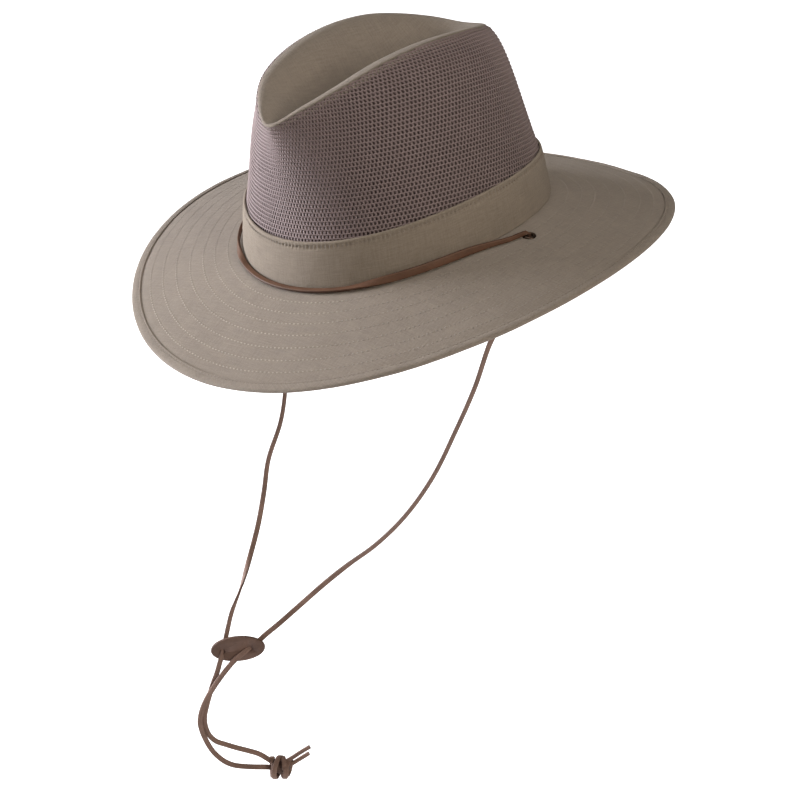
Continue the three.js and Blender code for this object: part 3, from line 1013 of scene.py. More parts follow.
def soft_light(light):
    around = math.radians(light.azimuth)
    up = math.radians(light.elevation)
    level = Vector((math.sin(around), -math.cos(around), 0)) * math.cos(up)
    place = (level + UP * math.sin(up)) * LIGHT_DISTANCE
    data = bpy.data.lights.new(light.name, "AREA")
    data.color = light.colour
    data.shape = "SQUARE"
    data.size = light.side
    data.energy = light.power
    lamp = bpy.data.objects.new(light.name, data)
    lamp.location = place
    lamp.rotation_euler = (LIGHT_AIM - place).to_track_quat("-Z", "Y").to_euler()
    bpy.context.scene.collection.objects.link(lamp)


class HAT_OT_stage(bpy.types.Operator):
    """Sets up the camera, the soft lights and a plain pale floor."""

    bl_idname = "hat.stage"
    bl_label = "Stage"

    floor_height: bpy.props.FloatProperty(
        name="Floor height", description="Height of the floor", default=-0.62, subtype="DISTANCE")

    def execute(self, context):
        self.add_camera(context)
        self.add_lights(context)
        self.add_floor(context)
        context.scene.view_settings.view_transform = "Standard"
        return {"FINISHED"}

    def add_camera(self, context):
        aim = CAMERA_FORWARD.normalized()
        right = (CAMERA_RIGHT - aim * CAMERA_RIGHT.dot(aim)).normalized()
        turned = Matrix((right, right.cross(aim), -aim)).transposed()
        data = bpy.data.cameras.new("camera")
        data.lens = CAMERA_LENS
        camera = bpy.data.objects.new("camera", data)
        camera.matrix_world = Matrix.Translation(CAMERA_PLACE) @ turned.to_4x4()
        context.scene.collection.objects.link(camera)
        context.scene.camera = camera

    def add_lights(self, context):
        for light in LIGHTS:
            soft_light(light)
        world = bpy.data.worlds.new("surroundings")
        world.use_nodes = True
        tree = world.node_tree
        seen = add(tree, "ShaderNodeLightPath").outputs["Is Camera Ray"]
        strength = calculate(tree, "MULTIPLY_ADD", seen, 1 - ROOM_LIGHT, ROOM_LIGHT)
        connect(tree, (1, 1, 1, 1), tree.nodes["Background"].inputs["Color"])
        connect(tree, strength, tree.nodes["Background"].inputs["Strength"])
        context.scene.world = world

    def add_floor(self, context):
        bm = bmesh.new()
        bmesh.ops.create_grid(bm, x_segments=8, y_segments=8, size=STAGE_REACH)
        bmesh.ops.translate(bm, verts=bm.verts, vec=(0, 0, self.floor_height))
        mesh = bpy.data.meshes.new("floor")
        bm.to_mesh(mesh)
        bm.free()
        mesh.materials.append(floor_material())
        floor = bpy.data.objects.new("floor", mesh)
        context.scene.collection.objects.link(floor)
        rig.stage(floor)


# Laces

# How far a lace is twisted about its own length, in degrees, by share of the way: 0 shows its flat side.
LEFT_TWIST = (
    (0, 30), (0.1, -20), (0.18, -46), (0.3, -52), (0.44, -50), (0.54, -46), (0.6, -16), (0.65, -4),
    (0.7, -6), (0.74, 4), (0.78, 10), (0.84, 0), (1, -10),
)
RIGHT_TWIST = (
    (0, -60), (0.32, -58), (0.42, -48), (0.5, -34), (0.56, -14), (0.6, 34), (0.635, 90), (0.67, 128),
    (0.72, 138), (0.8, 156), (0.86, 180), (1, 170),
)


def hole_frame(side):
    """The place and tilt of the lace hole on the wearer's left (1) or right (-1)."""
    angle = math.radians(HOLE_ANGLE) * side
    turned = UP.rotation_difference(brim_normal(angle, HOLE_OUT)).to_matrix().to_4x4()
    return Matrix.Translation(brim_surface(angle, HOLE_OUT)) @ turned


# Leather of the hanging laces and the knot: the front lace's leather coloured lighter, as painted light for light
# bounced up from the pale floor.
def bounce_lit_leather(sizes):
    return leather_material("worn lace leather", "bounce_lit_lace", 0.55, sizes.width + sizes.thickness)


class HAT_OT_slide(bpy.types.Operator):
    """Cuts the oval leather slide and punches a hole for each lace."""

    bl_idname = "hat.slide"
    bl_label = "Slide"

    # How far its rims are rounded, and from which bend in degrees an edge is a rim.
    RIM = 0.0006
    RIM_ANGLE = 60
    # How near the slide its laces are looked for, and how long the punch is.
    NEAR = 0.016
    PUNCH = 0.012

    def execute(self, context):
        upright = Matrix.Rotation(math.radians(90), 4, "X")
        turned = Matrix.Rotation(math.radians(SLIDE_FACING), 4, "Z")
        bm = self.oval(context.scene.lace_sizes)
        bmesh.ops.transform(bm, verts=bm.verts, matrix=Matrix.Translation(SLIDE_CENTRE) @ turned @ upright)
        leather = leather_material("slide leather", "slide", 0.5)
        slide = new_piece("slide_leather", bm, leather, "slide_leather", ["slide"])
        face = turned.to_3x3() @ Vector((0, -1, 0))
        carve(slide, [self.punch(points, face, turned @ upright) for points in (LACE_LEFT, LACE_RIGHT)])
        slide.data.shade_smooth()
        return {"FINISHED"}

    def oval(self, sizes):
        """The slide lying flat, its middle at the origin and its rims rounded."""
        bm = bmesh.new()
        bmesh.ops.create_circle(bm, cap_ends=True, segments=72, radius=1)
        bmesh.ops.scale(bm, verts=bm.verts, vec=(sizes.slide_length / 2, sizes.slide_height / 2, 1))
        raised = bmesh.ops.extrude_face_region(bm, geom=bm.faces)
        lifted = [item for item in raised["geom"] if isinstance(item, bmesh.types.BMVert)]
        bmesh.ops.translate(bm, verts=lifted, vec=(0, 0, sizes.slide_thickness))
        bmesh.ops.recalc_face_normals(bm, faces=bm.faces)
        rims = [e for e in bm.edges if e.calc_face_angle(0) > math.radians(self.RIM_ANGLE)]
        bmesh.ops.bevel(
            bm, geom=rims, offset=self.RIM, affect="EDGES", segments=3, profile=0.5, material=-1)
        bmesh.ops.translate(bm, verts=bm.verts, vec=(0, 0, -sizes.slide_thickness / 2))
        return bm

    def punch(self, points, face, turned):
        """A round cutter where a lace crosses the middle of the slide."""
        near = [p for p in route(points, step=0.0004) if (p - SLIDE_CENTRE).length < self.NEAR]
        crossing = min(near, key=lambda p: abs((p - SLIDE_CENTRE).dot(face)))
        return round_cutter(SLIDE_HOLE, self.PUNCH, Matrix.Translation(crossing) @ turned)


class HAT_OT_knot(bpy.types.Operator):
    """Ties the knot: wraps of flat lace round a core, and the two cut ends."""

    bl_idname = "hat.knot"
    bl_label = "Knot"

    # Each wrap: place along the axis, radius, tilt in degrees, start in degrees, turns.
    WRAPS = (
        (-0.0056, 0.0064, 4, 60, 1.05),
        (-0.0022, 0.0074, -16, 200, 1.1),
        (0.0018, 0.007, 12, 20, 1.1),
        (0.0049, 0.0055, -18, 120, 1.05),
    )
    # How a wrap creeps along the axis, and the shares of its ends and radius that are tucked in.
    CREEP = 0.0012
    ENDS = 0.2
    TUCK = 0.22

    # Half sizes of the core along the axis and across it.
    CORE_LONG = 0.0066
    CORE_WIDE = 0.0044

    # The cut ends: piece, node and points, which way their flat sides look, and how much narrower and
    # thinner than the lace they are.
    TAILS = (
        ("cut_end_upper", "lace_tail_upper", TAIL_UPPER),
        ("cut_end_lower", "lace_tail_lower", TAIL_LOWER),
    )
    TAIL_FACING = ((0, (0.7, -0.4, 0.3)), (1, (0.6, -0.4, 0.6)))
    TAIL_WIDTH = 0.8
    TAIL_THICKNESS = 0.95

    def execute(self, context):
        sizes = context.scene.lace_sizes
        leather = bounce_lit_leather(sizes)
        aside = KNOT_AXIS.cross(UP).normalized()
        up = aside.cross(KNOT_AXIS)
        strands = [self.core(aside, up)]
        for wrap in self.WRAPS:
            points, looks = self.wrap(aside, up, *wrap)
            strands.append(ribbon(route(points, step=0.0008), sizes.width, sizes.thickness, looks))
        new_piece("end_knot", joined(strands), leather, "lace_leather", ["knot"])
        for name, node, points in self.TAILS:
            width = sizes.width * self.TAIL_WIDTH
            thickness = sizes.thickness * self.TAIL_THICKNESS
            tail = ribbon(route(points, step=0.001), width, thickness, self.TAIL_FACING)
            new_piece(name, tail, leather, "lace_leather", [node])
        return {"FINISHED"}

    def core(self, aside, up):
        bm = bmesh.new()
        bmesh.ops.create_uvsphere(bm, u_segments=24, v_segments=16, radius=1)
        shape = Matrix((
            KNOT_AXIS * self.CORE_LONG, aside * self.CORE_WIDE, up * self.CORE_WIDE)).transposed().to_4x4()
        shape.translation = KNOT_CENTRE
        bmesh.ops.transform(bm, verts=bm.verts, matrix=shape)
        return bm

    def wrap(self, aside, up, place, radius, tilt, start, turns):
        """Points of one wrap, its ends tucked in, and the way out from the axis at each."""
        count = 15
        slope = math.tan(math.radians(tilt))
        points = []
        looks = []
        for index in range(count):
            share = index / (count - 1)
            turn = math.radians(start) + TURN * turns * share
            tuck = max(0.0, abs(2 * share - 1) - (1 - self.ENDS)) / self.ENDS
            out = aside * math.cos(turn) + up * math.sin(turn)
            along = place + radius * slope * math.cos(turn) + self.CREEP * (share - 0.5)
            points.append(KNOT_CENTRE + KNOT_AXIS * along + out * radius * (1 - self.TUCK * tuck))
            looks.append((share, out))
        return points, looks


class HAT_OT_chin_laces(bpy.types.Operator):
    """Hangs the two free ends of the lace, from the brim's holes through the slide to the knot."""

    bl_idname = "hat.chin_laces"
    bl_label = "Chin laces"

    def execute(self, context):
        sizes = context.scene.lace_sizes
        leather = bounce_lit_leather(sizes)
        companions = {
            "lace_left": ["slide_leather", "end_knot", "cut_end_lower"],
            "lace_right": ["cut_end_upper"],
        }
        for name, points, twist in (
            ("lace_left", LACE_LEFT, LEFT_TWIST), ("lace_right", LACE_RIGHT, RIGHT_TWIST)):
            line = route(points, step=0.0015)
            bm = ribbon(line, sizes.width, sizes.thickness, twisted(line, twist))
            lace = new_piece("chin_" + name, bm, leather, "lace_leather", [name])
            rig.cord(
                lace, exit=points[0], length=distances(line)[-1], diameter=sizes.width, far_end="knot",
                stiffness="limp", lay="hanging", path=line, with_pieces=companions[name])
        return {"FINISHED"}


class HAT_OT_front_lace(bpy.types.Operator):
    """Lays the lace round the front of the crown, from hole to hole, with an eyelet at each hole."""

    bl_idname = "hat.front_lace"
    bl_label = "Front lace and eyelets"

    # Degrees from the front where the lace starts to lean up on its edge, and over how many it gets there.
    LEAN_FROM = 22
    LEAN_OVER = 20
    # How far its flat side looks outwards rather than up where it lies flat, how much further where it
    # leans, and the way it looks in its holes.
    LYING = 0.08
    LEANING = 0.84
    AT_HOLE = Vector((0, 1, 0.2))
    # How much wider it is on its edge, and from where and how far it is gathered to go into its holes.
    STRETCH = 0.38
    GATHER_FROM = 62
    GATHER_OVER = 24
    GATHERED = 0.78
    # How far it stands off the brim, in metres, and its way out of a hole onto the brim, in millimetres.
    CLEARANCE = 0.0006
    FROM_HOLE = ((0, 0, -1), (0, -0.1, 1.3), (-0.6, -1.6, 2.6), (-2.2, -5.6, 2.5))
    # Corners of an eyelet's section, as radius and height in millimetres: below the brim, then above it.
    EYELET = (
        (2.3, -2.6), (2.5, -3.0), (3.6, -2.9), (3.9, -2.5), (3.6, -2.25), (2.65, -2.3), (2.6, 0.1),
        (3.9, 0.05), (4.25, 0.2), (4.2, 0.5), (3.8, 0.85), (3.3, 1.0), (2.75, 0.85), (2.35, 0.4),
    )

    def execute(self, context):
        sizes = context.scene.lace_sizes
        leather = leather_material("lace leather", "lace", 0.5, sizes.width + sizes.thickness)
        line = route(self.lace_points(sizes), step=0.0012)
        bm = ribbon(line, sizes.width, sizes.thickness, self.looks(line), spread=self.spread)
        new_piece("front_lace", bm, leather, "lace_leather", ["lace_front"])
        for side, node in ((1, "eyelet_left"), (-1, "eyelet_right")):
            new_piece(node + "_ring", self.eyelet(side), metal_material(), "dark_metal", [node])
        return {"FINISHED"}

    def looks(self, line):
        """The way the lace's flat side looks, by share of the way."""
        steps = 40
        marks = []
        for index in range(steps + 1):
            share = index / steps
            point = line[round(share * (len(line) - 1))]
            away = Vector((point.x, point.y, 0)).normalized()
            upright = self.standing(self.degrees_of(point))
            look = UP.lerp(away, self.LYING + self.LEANING * upright)
            marks.append((share, self.AT_HOLE if index in (0, steps) else look))
        return marks

    def degrees_of(self, point):
        return math.degrees(math.atan2(point.x, -point.y))

    def standing(self, degrees):
        """How far the lace leans up on its edge: 0 at the front of the hat, 1 towards the holes."""
        return eased((abs(degrees) - self.LEAN_FROM) / self.LEAN_OVER)

    def spread(self, point):
        """How much wider the lace is: stretched on the wearer's left, and gathered near its holes."""
        degrees = self.degrees_of(point)
        wide = self.STRETCH * self.standing(degrees) if degrees > 0 else 0.0
        gathered = eased((abs(degrees) - self.GATHER_FROM) / self.GATHER_OVER)
        return (1 + wide) * (1 - gathered) + self.GATHERED * gathered

    def lace_points(self, sizes):
        low = sizes.thickness / 2 + self.CLEARANCE

        def on_brim(degrees, out):
            angle = math.radians(degrees)
            point = brim_surface(angle, out)
            rise = (sizes.width * self.spread(point) - sizes.thickness) / 2 * self.standing(degrees)
            return point + brim_normal(angle, out) * (low + rise)

        def from_hole(side):
            middle = hole_frame(side).translation
            return [middle + Vector((x * side, y, z)) * MM for x, y, z in self.FROM_HOLE]

        left = [on_brim(degrees, out) for degrees, out in FRONT_LACE]
        right = [on_brim(-degrees, out) for degrees, out in reversed(FRONT_LACE)]
        return [*from_hole(1), *left, on_brim(0, FRONT_LACE_MIDDLE), *right, *reversed(from_hole(-1))]

    def eyelet(self, side):
        """A rolled ring above the brim, its barrel, and a flatter ring below, spun in one."""
        bm = bmesh.new()
        corners = [bm.verts.new((radius * MM, 0, height * MM)) for radius, height in self.EYELET]
        outline = [bm.edges.new(pair) for pair in zip(corners, corners[1:] + corners[:1])]
        bmesh.ops.spin(
            bm, geom=corners + outline, cent=(0, 0, 0), axis=(0, 0, 1), dvec=(0, 0, 0), angle=TURN, steps=40,
            use_merge=True, use_duplicate=False)
        bmesh.ops.remove_doubles(bm, verts=bm.verts, dist=WELD)
        bmesh.ops.recalc_face_normals(bm, faces=bm.faces)
        bmesh.ops.transform(bm, verts=bm.verts, matrix=hole_frame(side))
        return bm


# Brim

# The brim's cloth, in millimetres: half its thickness, and the depth and width of a stitched groove.
BRIM_HALF = 1.0
GROOVE_DEPTH = 0.05
GROOVE_WIDTH = 1.1

# Where the binding presses the brim thinner, as shares of its width, and by how much.
PRESS_FROM = 0.87
PRESS_OVER = 0.05
PRESS = 0.35

# Size and height of the brim's slow waves, and of the small ones in its cloth, in metres.
SLOW_WAVES = (0.035, 0.0005)
SMALL_WAVES = (0.011, 0.00014)


def groove(out):
    """How far the rings of stitches pull the brim's cloth in."""
    return GROOVE_DEPTH * sum(
        math.exp(-((out - ring) * BRIM_WIDTH / GROOVE_WIDTH) ** 2) for ring in STITCH_RINGS)


def brim_face(angle, out, side):
    """The brim's upper (1) or lower (-1) face, with the stitched grooves and a slight unevenness."""
    normal = brim_normal(angle, out)
    middle = brim_surface(angle, out) - normal * MM
    half = BRIM_HALF - PRESS * clamped((out - PRESS_FROM) / PRESS_OVER)
    puff = (half - groove(out)) * MM
    wave = unevenness(middle, *SLOW_WAVES) + unevenness(middle, *SMALL_WAVES)
    return middle + normal * (side * puff + wave)


class HAT_OT_brim(bpy.types.Operator):
    """Makes the stitched canvas brim, the folded binding round its edge, and their stitches."""

    bl_idname = "hat.brim"
    bl_label = "Brim"

    # How far the brim's cloth goes in under the band, and how far short of the edge it ends inside the
    # binding, in millimetres.
    UNDER_BAND = 1.6
    IN_BINDING = 2.2
    # Rows of corners, as shares of the brim's width, and about each ring of stitches, in millimetres.
    PLAIN_ROWS = (0.0, 0.03, 0.9, 0.93)
    ROWS_AT_STITCHES = (-3.4, -2, -1.2, -0.5, 0, 0.5, 1.2, 2, 3.4)
    # Length of the drill for the lace holes, in millimetres.
    DRILL = 12

    # The binding's section: millimetres in from the edge, and up. Its dip is where it is sewn.
    BINDING_TOP = (
        (5.9, 0.75), (6.1, 1.0), (5.95, 1.3), (5.55, 1.5), (5.1, 1.42), (4.75, 1.26), (4.4, 1.42),
        (3.6, 1.56), (2.4, 1.58),
    )
    BINDING_INSIDE = ((4, -0.75), (2, -0.72), (1.7, 0), (2, 0.72), (4, 0.75))
    BINDING_NOSE = 1.5
    NOSE_STEPS = 8
    SEAM = 4.75
    SEAM_HEIGHT = 1.3
    # How dense the ripples along the binding are, and their height as a share of its own.
    RIPPLE_DENSITY = 30
    RIPPLE = 0.064
    # For the flat cloth: the edge's mean radius in metres, and the cosine of the bias's 45 degrees.
    EDGE_RADIUS = 0.168
    BIAS = 0.7071

    def execute(self, context):
        self.add_brim()
        self.add_binding()
        self.add_stitches(context.scene.hat_sizes)
        return {"FINISHED"}

    def add_brim(self):
        inner = -self.UNDER_BAND / BRIM_WIDTH
        outer = 1 - self.IN_BINDING / BRIM_WIDTH
        outs = {inner, inner / 2, *self.PLAIN_ROWS, outer}
        for ring in STITCH_RINGS:
            outs.update(ring + away / BRIM_WIDTH for away in self.ROWS_AT_STITCHES)
        outs = sorted(out for out in outs if inner <= out <= outer)
        section = [(out, 1) for out in outs] + [(out, -1) for out in reversed(outs)]
        count = len(section)

        def place(angle, row):
            return brim_face(angle, *section[row % count])

        def cloth(angle, row):
            point = brim_surface(angle, section[row % count][0])
            return point.x, point.y

        bm = wrapped(columns=300, rows=count, place=place, cloth=cloth)
        brim = new_piece("brim_canvas", bm, canvas_material("canvas", "canvas"), "canvas", ["brim"])
        carve(brim, [round_cutter(HOLE_RADIUS * MM, self.DRILL * MM, hole_frame(side)) for side in (1, -1)])

    def add_binding(self):
        turns = [math.radians(90 + 180 * step / self.NOSE_STEPS) for step in range(self.NOSE_STEPS + 1)]
        nose = [(1 + math.cos(turn), math.sin(turn)) for turn in turns]
        nose = [(inward * self.BINDING_NOSE, height * self.BINDING_NOSE) for inward, height in nose]
        lower = [(inward, -height) for inward, height in reversed(self.BINDING_TOP)]
        section = [*self.BINDING_TOP, *nose, *lower, *self.BINDING_INSIDE]
        count = len(section)
        lengths = [0.0]
        for before, after in zip(section, section[1:] + section[:1]):
            lengths.append(lengths[-1] + math.dist(before, after) * MM)

        def place(angle, row):
            inward, height = section[row % count]
            out = 1 - inward / BRIM_WIDTH
            normal = brim_normal(angle, out)
            point = brim_surface(angle, out) - normal * MM
            around = Vector((math.cos(angle), math.sin(angle), 0.2)) * self.RIPPLE_DENSITY
            ripple = noise.noise(around) * self.RIPPLE
            wave = unevenness(point, *SLOW_WAVES)
            return point + normal * (height * (1 + ripple) * MM + wave)

        def cloth(angle, row):
            around = angle * self.EDGE_RADIUS
            up = lengths[row]
            return (around + up) * self.BIAS, (around - up) * self.BIAS

        bm = wrapped(columns=420, rows=count, place=place, cloth=cloth)
        new_piece("brim_edge_binding", bm, canvas_material("canvas", "canvas"), "canvas", ["brim_binding"])

    def add_stitches(self, sizes):
        rings = []
        for side in (1, -1):
            for ring in STITCH_RINGS:
                lift = side * STITCH_LIFT
                rings.append(stitch_ring(
                    lambda angle: brim_face(angle, ring, side) + brim_normal(angle, ring) * lift,
                    lambda angle: brim_normal(angle, ring) * side, sizes))
        # Their light colour on the front is painted light for the key light catching them.
        cream = thread_material("cream thread", "thread", "canvas")
        new_piece("brim_stitches", joined(rings), cream, "canvas")
        rings = []
        seam = 1 - self.SEAM / BRIM_WIDTH
        for side in (1, -1):
            rings.append(stitch_ring(
                lambda angle: self.seam_point(angle, seam, side),
                lambda angle: brim_normal(angle, seam) * side, sizes))
        brown = thread_material("brown thread", "brown_thread")
        new_piece("binding_stitches", joined(rings), brown, "canvas")

    def seam_point(self, angle, out, side):
        """A point in the dip where the binding is sewn, above (1) or below (-1) the brim."""
        normal = brim_normal(angle, out)
        point = brim_surface(angle, out)
        wave = unevenness(point - normal * MM, *SLOW_WAVES)
        return point + normal * (side * self.SEAM_HEIGHT * MM - MM + wave)


# Crown

BAND_STITCHES = 210
BAND_SEAM = 0.9

# The band's relief, in millimetres: how far it bellies out, how far its seam is pulled in all round, and
# how much further once to each stitch.
BELLY = 0.35
SEAM_PULL = 0.12
SEAM_PUCKER = 0.75

# Its soft creases: how dense they are round and up, how fine and high the broad and the small ones are,
# and how soon they start above the foot.
CREASE_ROUND = 2.2
CREASE_UP = 2.6
CREASES = ((2.2, 0.27), (6, 0.072))
CREASE_START = 4


def band_face(angle, row, depth):
    """A point of the band: row 0 at the foot, 1 at the top edge; depth in millimetres inwards.

    The band bellies out a little, puckers at each stitch and has soft creases above its foot.
    """
    normal = normal_at(band_surface, angle, row)
    point = band_surface(angle, row)
    belly = BELLY * math.sin(math.pi * clamped(row))
    pucker = 0.5 + 0.5 * math.cos(angle * BAND_STITCHES)
    near_seam = math.exp(-((row - BAND_SEAM) * BAND_TOP.height / GROOVE_WIDTH) ** 2)
    pull = (SEAM_PULL + SEAM_PUCKER * pucker) * near_seam
    place = Vector((math.cos(angle) * CREASE_ROUND, math.sin(angle) * CREASE_ROUND, row * CREASE_UP))
    wave = sum(noise.noise(place * fineness) * height for fineness, height in CREASES)
    crease = wave * clamped(row * CREASE_START)
    return point + normal * ((belly - pull + crease - depth) * MM)


class HAT_OT_band(bpy.types.Operator):
    """Makes the canvas band round the crown's foot, with its row of stitches near the top."""

    bl_idname = "hat.band"
    bl_label = "Band"

    # Rows of the outer face, and row and depth of the corners where the top edge folds over.
    ROWS = (0.02, 0.06, 0.12, 0.2, 0.3, 0.4, 0.5, 0.6, 0.7, 0.78, 0.83, 0.86, 0.88, 0.9, 0.92, 0.94, 0.97)
    FOLD = ((0.985, 0.1), (1.0, 0.36), (1.006, 0.76), (1.004, 1.16), (0.998, 1.46), (0.985, 1.5))
    STITCH_DEPTH = -0.05

    # For the flat cloth: the band's mean radius and height, and how far on it is for a millimetre of depth.
    RADIUS = 0.0935
    HEIGHT = 0.0286
    THROUGH = 0.002

    def execute(self, context):
        inner = [(row, CANVAS) for row in reversed(self.ROWS[::2])]
        section = [*((row, 0) for row in self.ROWS), *self.FOLD, *inner]
        count = len(section)

        def place(angle, row):
            return band_face(angle, *section[row % count])

        def cloth(angle, row):
            level, depth = section[row % count]
            return angle * self.RADIUS, level * self.HEIGHT - depth * self.THROUGH

        bm = wrapped(columns=840, rows=count, place=place, cloth=cloth)
        new_piece("band_canvas", bm, canvas_material("band canvas", "band"), "band_canvas", ["crown_band"])
        stitches = stitch_ring(
            lambda angle: band_face(angle, BAND_SEAM, self.STITCH_DEPTH),
            lambda angle: normal_at(band_surface, angle, BAND_SEAM), context.scene.hat_sizes,
            count=BAND_STITCHES)
        brown = thread_material("brown thread", "brown_thread")
        new_piece("band_stitches", stitches, brown, "band_canvas")
        return {"FINISHED"}


class Knot(NamedTuple):
    """One crossing of the net: its place, the way out, the way up, and whether the net reaches it."""

    place: Vector
    out: Vector
    up: Vector
    kept: bool


class HAT_OT_net(bpy.types.Operator):
    """Knits the net of the crown wall from zigzag ribs and short posts, with a dark sheet behind it as painted shade.
    """

    bl_idname = "hat.net"
    bl_label = "Net"

    # The hem inside the band, and half of how far the rows fall towards the back, in metres.
    HEM = 0.006
    TILT = 0.012
    # Share of a row by which a rib swings up and down.
    ZIGZAG = 0.14
    # How far below the crest the net and the dark sheet of painted shade end, as shares of the seam strip's width.
    SHORT = 0.6
    SHADE_SHEET_SHORT = 0.8
    # How far the ribs lie behind the wall's face, how much further the posts do, and where the dark sheet of
    # painted shade starts, with its thickness, in metres.
    BEHIND = 0.0008
    POST_BEHIND = 0.00035
    SHADE_SHEET_BEHIND = 0.0017
    SHADE_SHEET_THICKNESS = 0.0003
    # Radius of a post as a share of the thread's width, and the shortest post, in metres.
    POST_RADIUS = 0.68
    SHORTEST = 0.0004
    # Corners of a rib's section, up and outwards.
    CORNERS = ((0, 1), (1, 0), (0, -1), (-1, 0))
    # For the dark sheet of painted shade: steps up the wall, and its mean radius and height when flat.
    LEVELS = 16
    RADIUS = 0.085
    HEIGHT = 0.09

    def execute(self, context):
        sizes = context.scene.hat_sizes
        knots = self.knots(sizes)
        parts = []
        for row in range(len(knots[0])):
            parts.append(self.rib(knots, row, sizes))
            if row + 1 < len(knots[0]):
                parts.append(self.posts(knots, row, sizes))
        new_piece("crown_net", joined(parts), net_material(), "mesh", ["crown_mesh"], sharp=120)
        # The dark sheet behind the net is painted shade for the crown's shaded inside.
        self.add_painted_shade_sheet()
        return {"FINISHED"}

    def knots(self, sizes):
        """The net's crossings by column and row. Its rows lie a little lower towards the back."""
        columns = sizes.net_columns * 2
        tallest = max(wall_walk(math.radians(degrees))[-1] for degrees in range(0, 360, 5))
        rows = math.ceil((tallest + self.HEM + 2 * self.TILT) / sizes.net_row)
        net = []
        for column in range(columns):
            angle = TURN * column / columns
            top = wall_walk(angle)[-1] - crest_value("seam", angle) * MM * self.SHORT
            fall = self.TILT * (1 - math.cos(angle))
            line = []
            for row in range(rows):
                lift = self.ZIGZAG if (column + row) % 2 == 0 else -self.ZIGZAG
                wanted = (row + lift) * sizes.net_row - self.HEM - fall
                distance = min(top, max(-self.HEM, wanted))
                place = net_surface(angle, distance)
                step = 0.0005
                up = net_surface(angle, distance + step) - net_surface(angle, distance - step)
                out = normal_at(net_surface, angle, distance, step=2 * step)
                line.append(Knot(place, out, up.normalized(), abs(wanted - distance) < sizes.net_row / 2))
            net.append(line)
        return net

    def rib(self, knots, row, sizes):
        """One zigzag thread round the crown, open where the net doesn't reach its crossings."""
        columns = len(knots)
        sides = len(self.CORNERS)
        half = sizes.net_thread / 2
        bm = bmesh.new()
        bmesh.ops.create_grid(bm, x_segments=columns, y_segments=sides, size=0.5)
        beyond = []
        for v in bm.verts:
            knot = knots[round((v.co.x + 0.5) * columns) % columns][row]
            along, away = self.CORNERS[round((v.co.y + 0.5) * sides) % sides]
            v.co = knot.place + knot.up * (along * half) + knot.out * (away * half - self.BEHIND)
            if not knot.kept:
                beyond.append(v)
        bmesh.ops.delete(bm, geom=beyond, context="VERTS")
        bmesh.ops.remove_doubles(bm, verts=bm.verts, dist=WELD)
        bmesh.ops.holes_fill(bm, edges=[e for e in bm.edges if e.is_boundary], sides=sides)
        bmesh.ops.recalc_face_normals(bm, faces=bm.faces)
        return bm

    def posts(self, knots, row, sizes):
        """The short upright threads between a rib and the next one up."""
        radius = sizes.net_thread * self.POST_RADIUS
        bm = bmesh.new()
        for column, line in enumerate(knots):
            low, high = line[row], line[row + 1]
            reach = high.place - low.place
            if (column + row) % 2 == 1 or not (low.kept and high.kept) or reach.length < self.SHORTEST:
                continue
            up = reach.normalized()
            aside = up.cross(low.out).normalized()
            turned = Matrix((aside, up.cross(aside), up)).transposed().to_4x4()
            middle = (low.place + high.place) / 2 - low.out * (self.BEHIND + self.POST_BEHIND)
            bmesh.ops.create_cone(
                bm, cap_ends=True, segments=3, radius1=radius, radius2=radius, depth=reach.length,
                matrix=Matrix.Translation(middle) @ turned)
        return bm

    def add_painted_shade_sheet(self):
        """A dark sheet behind the net, a thin closed shell: painted shade for the crown's shaded inside seen through
        the holes.
        """
        levels = [step / self.LEVELS for step in range(self.LEVELS + 1)]
        section = [(level, self.SHADE_SHEET_BEHIND) for level in levels]
        section += [(level, self.SHADE_SHEET_BEHIND + self.SHADE_SHEET_THICKNESS) for level in reversed(levels)]
        count = len(section)

        def place(angle, row):
            level, depth = section[row % count]
            top = wall_walk(angle)[-1] - crest_value("seam", angle) * MM * self.SHADE_SHEET_SHORT
            distance = level * (top + self.HEM) - self.HEM
            normal = normal_at(net_surface, angle, distance, step=0.001)
            return net_surface(angle, distance) - normal * depth

        def cloth(angle, row):
            return angle * self.RADIUS, section[row % count][0] * self.HEIGHT

        bm = wrapped(columns=200, rows=count, place=place, cloth=cloth)
        new_piece("net_painted_shade_sheet", bm, canvas_material("painted_shade_sheet", "painted_shade_sheet"), "mesh", ["crown_mesh"])


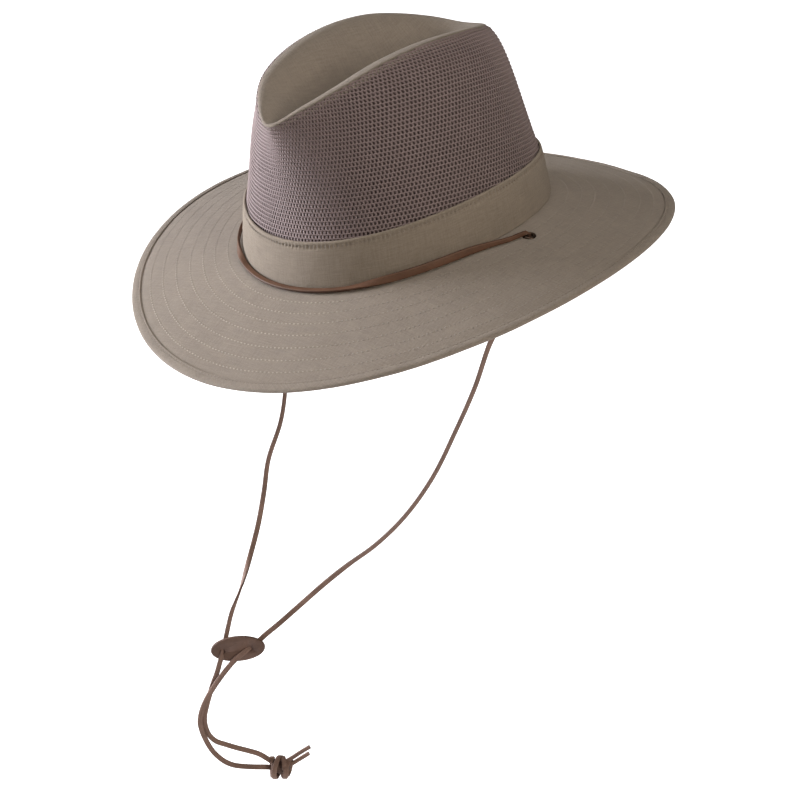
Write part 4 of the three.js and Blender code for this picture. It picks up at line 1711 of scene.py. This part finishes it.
class HAT_OT_tip(bpy.types.Operator):
    """Makes the canvas tip: the dent, the rolled crest and the seam allowance behind the net."""

    bl_idname = "hat.tip"
    bl_label = "Crown tip"

    # Rows of the dent from its middle line to the crest, and row and depth, in millimetres, of the corners
    # over the crest and down the net, and of those round the seam allowance inside.
    DENT = (2, 1.75, 1.5, 1.25, 1, 0.9, 0.8, 0.7, 0.6, 0.5, 0.41, 0.32, 0.25, 0.18, 0.12, 0.07, 0.03)
    ROLL = (
        (0, 0), (-0.12, -0.05), (-0.24, -0.08), (-0.36, -0.14), (-0.46, -0.2), (-0.54, -0.18), (-0.58, 0),
        (-0.6, 0.4), (-0.59, 0.8), (-0.6, 1.05),
    )
    ALLOWANCE = (
        (-0.7, 1.05), (-0.85, 1.05), (-1, 1.05), (-1.17, 1.15), (-1.2, 1.5), (-1.17, 1.9), (-0.8, 2),
        (-0.3, 2), (-0.04, 1.8), (0, 1.5),
    )
    # The last row below the crest, the row from which the dent's floor is level, and the stitches' row and
    # depth.
    LOWEST = -1.3
    LEVEL_FROM = 1.2
    STITCH_ROW = -1.05
    STITCH_DEPTH = 0.25

    # Size, in metres, and height, in millimetres, of the cloth's waves, and how soon they start inside the
    # crest.
    WAVES = (0.03, 0.7)
    SMALL_WAVES = (0.009, 0.12)
    CALM = 4

    # For the flat cloth: its width to the tip's seen from above, and how far on it is for a millimetre of
    # depth.
    WIDER = 1.3
    THROUGH = 0.003

    def execute(self, context):
        outer = [(row, 0) for row in self.DENT]
        inner = [(row, CANVAS) for row in reversed(self.DENT)]
        section = [*outer, *self.ROLL, *self.ALLOWANCE, *inner]
        count = len(section) - 1

        def place(angle, row):
            return self.face(angle, *section[row])

        def cloth(angle, row):
            level, depth = section[row]
            point = tip_surface(angle, level)
            return point.x * self.WIDER + depth * self.THROUGH, point.y

        bm = wrapped(columns=360, rows=count, place=place, cloth=cloth)
        new_piece("tip_canvas", bm, canvas_material("canvas", "canvas"), "canvas", ["crown_tip"])
        stitches = stitch_ring(
            lambda angle: self.face(angle, self.STITCH_ROW, self.STITCH_DEPTH),
            lambda angle: normal_at(tip_surface, angle, self.STITCH_ROW), context.scene.hat_sizes)
        brown = thread_material("brown thread", "brown_thread")
        new_piece("tip_stitches", stitches, brown, "canvas")
        return {"FINISHED"}

    def face(self, angle, level, depth):
        """A point of the tip, with the cloth's slight unevenness. depth is in millimetres inwards."""
        normal = UP
        if level <= self.LEVEL_FROM:
            normal = normal_at(tip_surface, angle, level, low=self.LOWEST, high=2.0)
        point = tip_surface(angle, level)
        wave = unevenness(point, *self.WAVES) + unevenness(point, *self.SMALL_WAVES)
        return point + normal * ((wave * clamped(level * self.CALM) - depth) * MM)


# The panel and the order of work

class HAT_PT_panel(bpy.types.Panel):
    """Lists the hat's pieces in the order in which they are made."""

    bl_idname = "HAT_PT_panel"
    bl_label = "Bush Hat"
    bl_space_type = "VIEW_3D"
    bl_region_type = "UI"
    bl_category = "Bush Hat"

    def draw(self, context):
        for operator in OPERATORS:
            self.layout.operator(operator.bl_idname)
        for group in (context.scene.hat_sizes, context.scene.lace_sizes, context.scene.hat_colours):
            for name in group.__annotations__:
                self.layout.prop(group, name)


GROUPS = {"hat_sizes": HatSizes, "lace_sizes": LaceSizes, "hat_colours": HatColours}
OPERATORS = (
    HAT_OT_stage, HAT_OT_slide, HAT_OT_knot, HAT_OT_chin_laces, HAT_OT_front_lace, HAT_OT_brim, HAT_OT_band,
    HAT_OT_net, HAT_OT_tip,
)


def register():
    for kind in (*GROUPS.values(), *OPERATORS, HAT_PT_panel):
        bpy.utils.register_class(kind)
    for name, group in GROUPS.items():
        setattr(bpy.types.Scene, name, bpy.props.PointerProperty(type=group))


def unregister():
    for name in GROUPS:
        delattr(bpy.types.Scene, name)
    for kind in (HAT_PT_panel, *reversed(OPERATORS), *GROUPS.values()):
        bpy.utils.unregister_class(kind)


def main():
    register()
    bpy.ops.hat.stage()
    bpy.ops.hat.slide()
    bpy.ops.hat.knot()
    bpy.ops.hat.chin_laces()
    bpy.ops.hat.front_lace()
    bpy.ops.hat.brim()
    bpy.ops.hat.band()
    bpy.ops.hat.net()
    bpy.ops.hat.tip()
    boxes = {"cad": [list(corner) for corner in CAD_BOX], "visual": [list(corner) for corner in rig.bounds()]}
    with open(SIZE_FILE, "w") as file:
        json.dump(boxes, file)


if __name__ == "__main__":
    main()
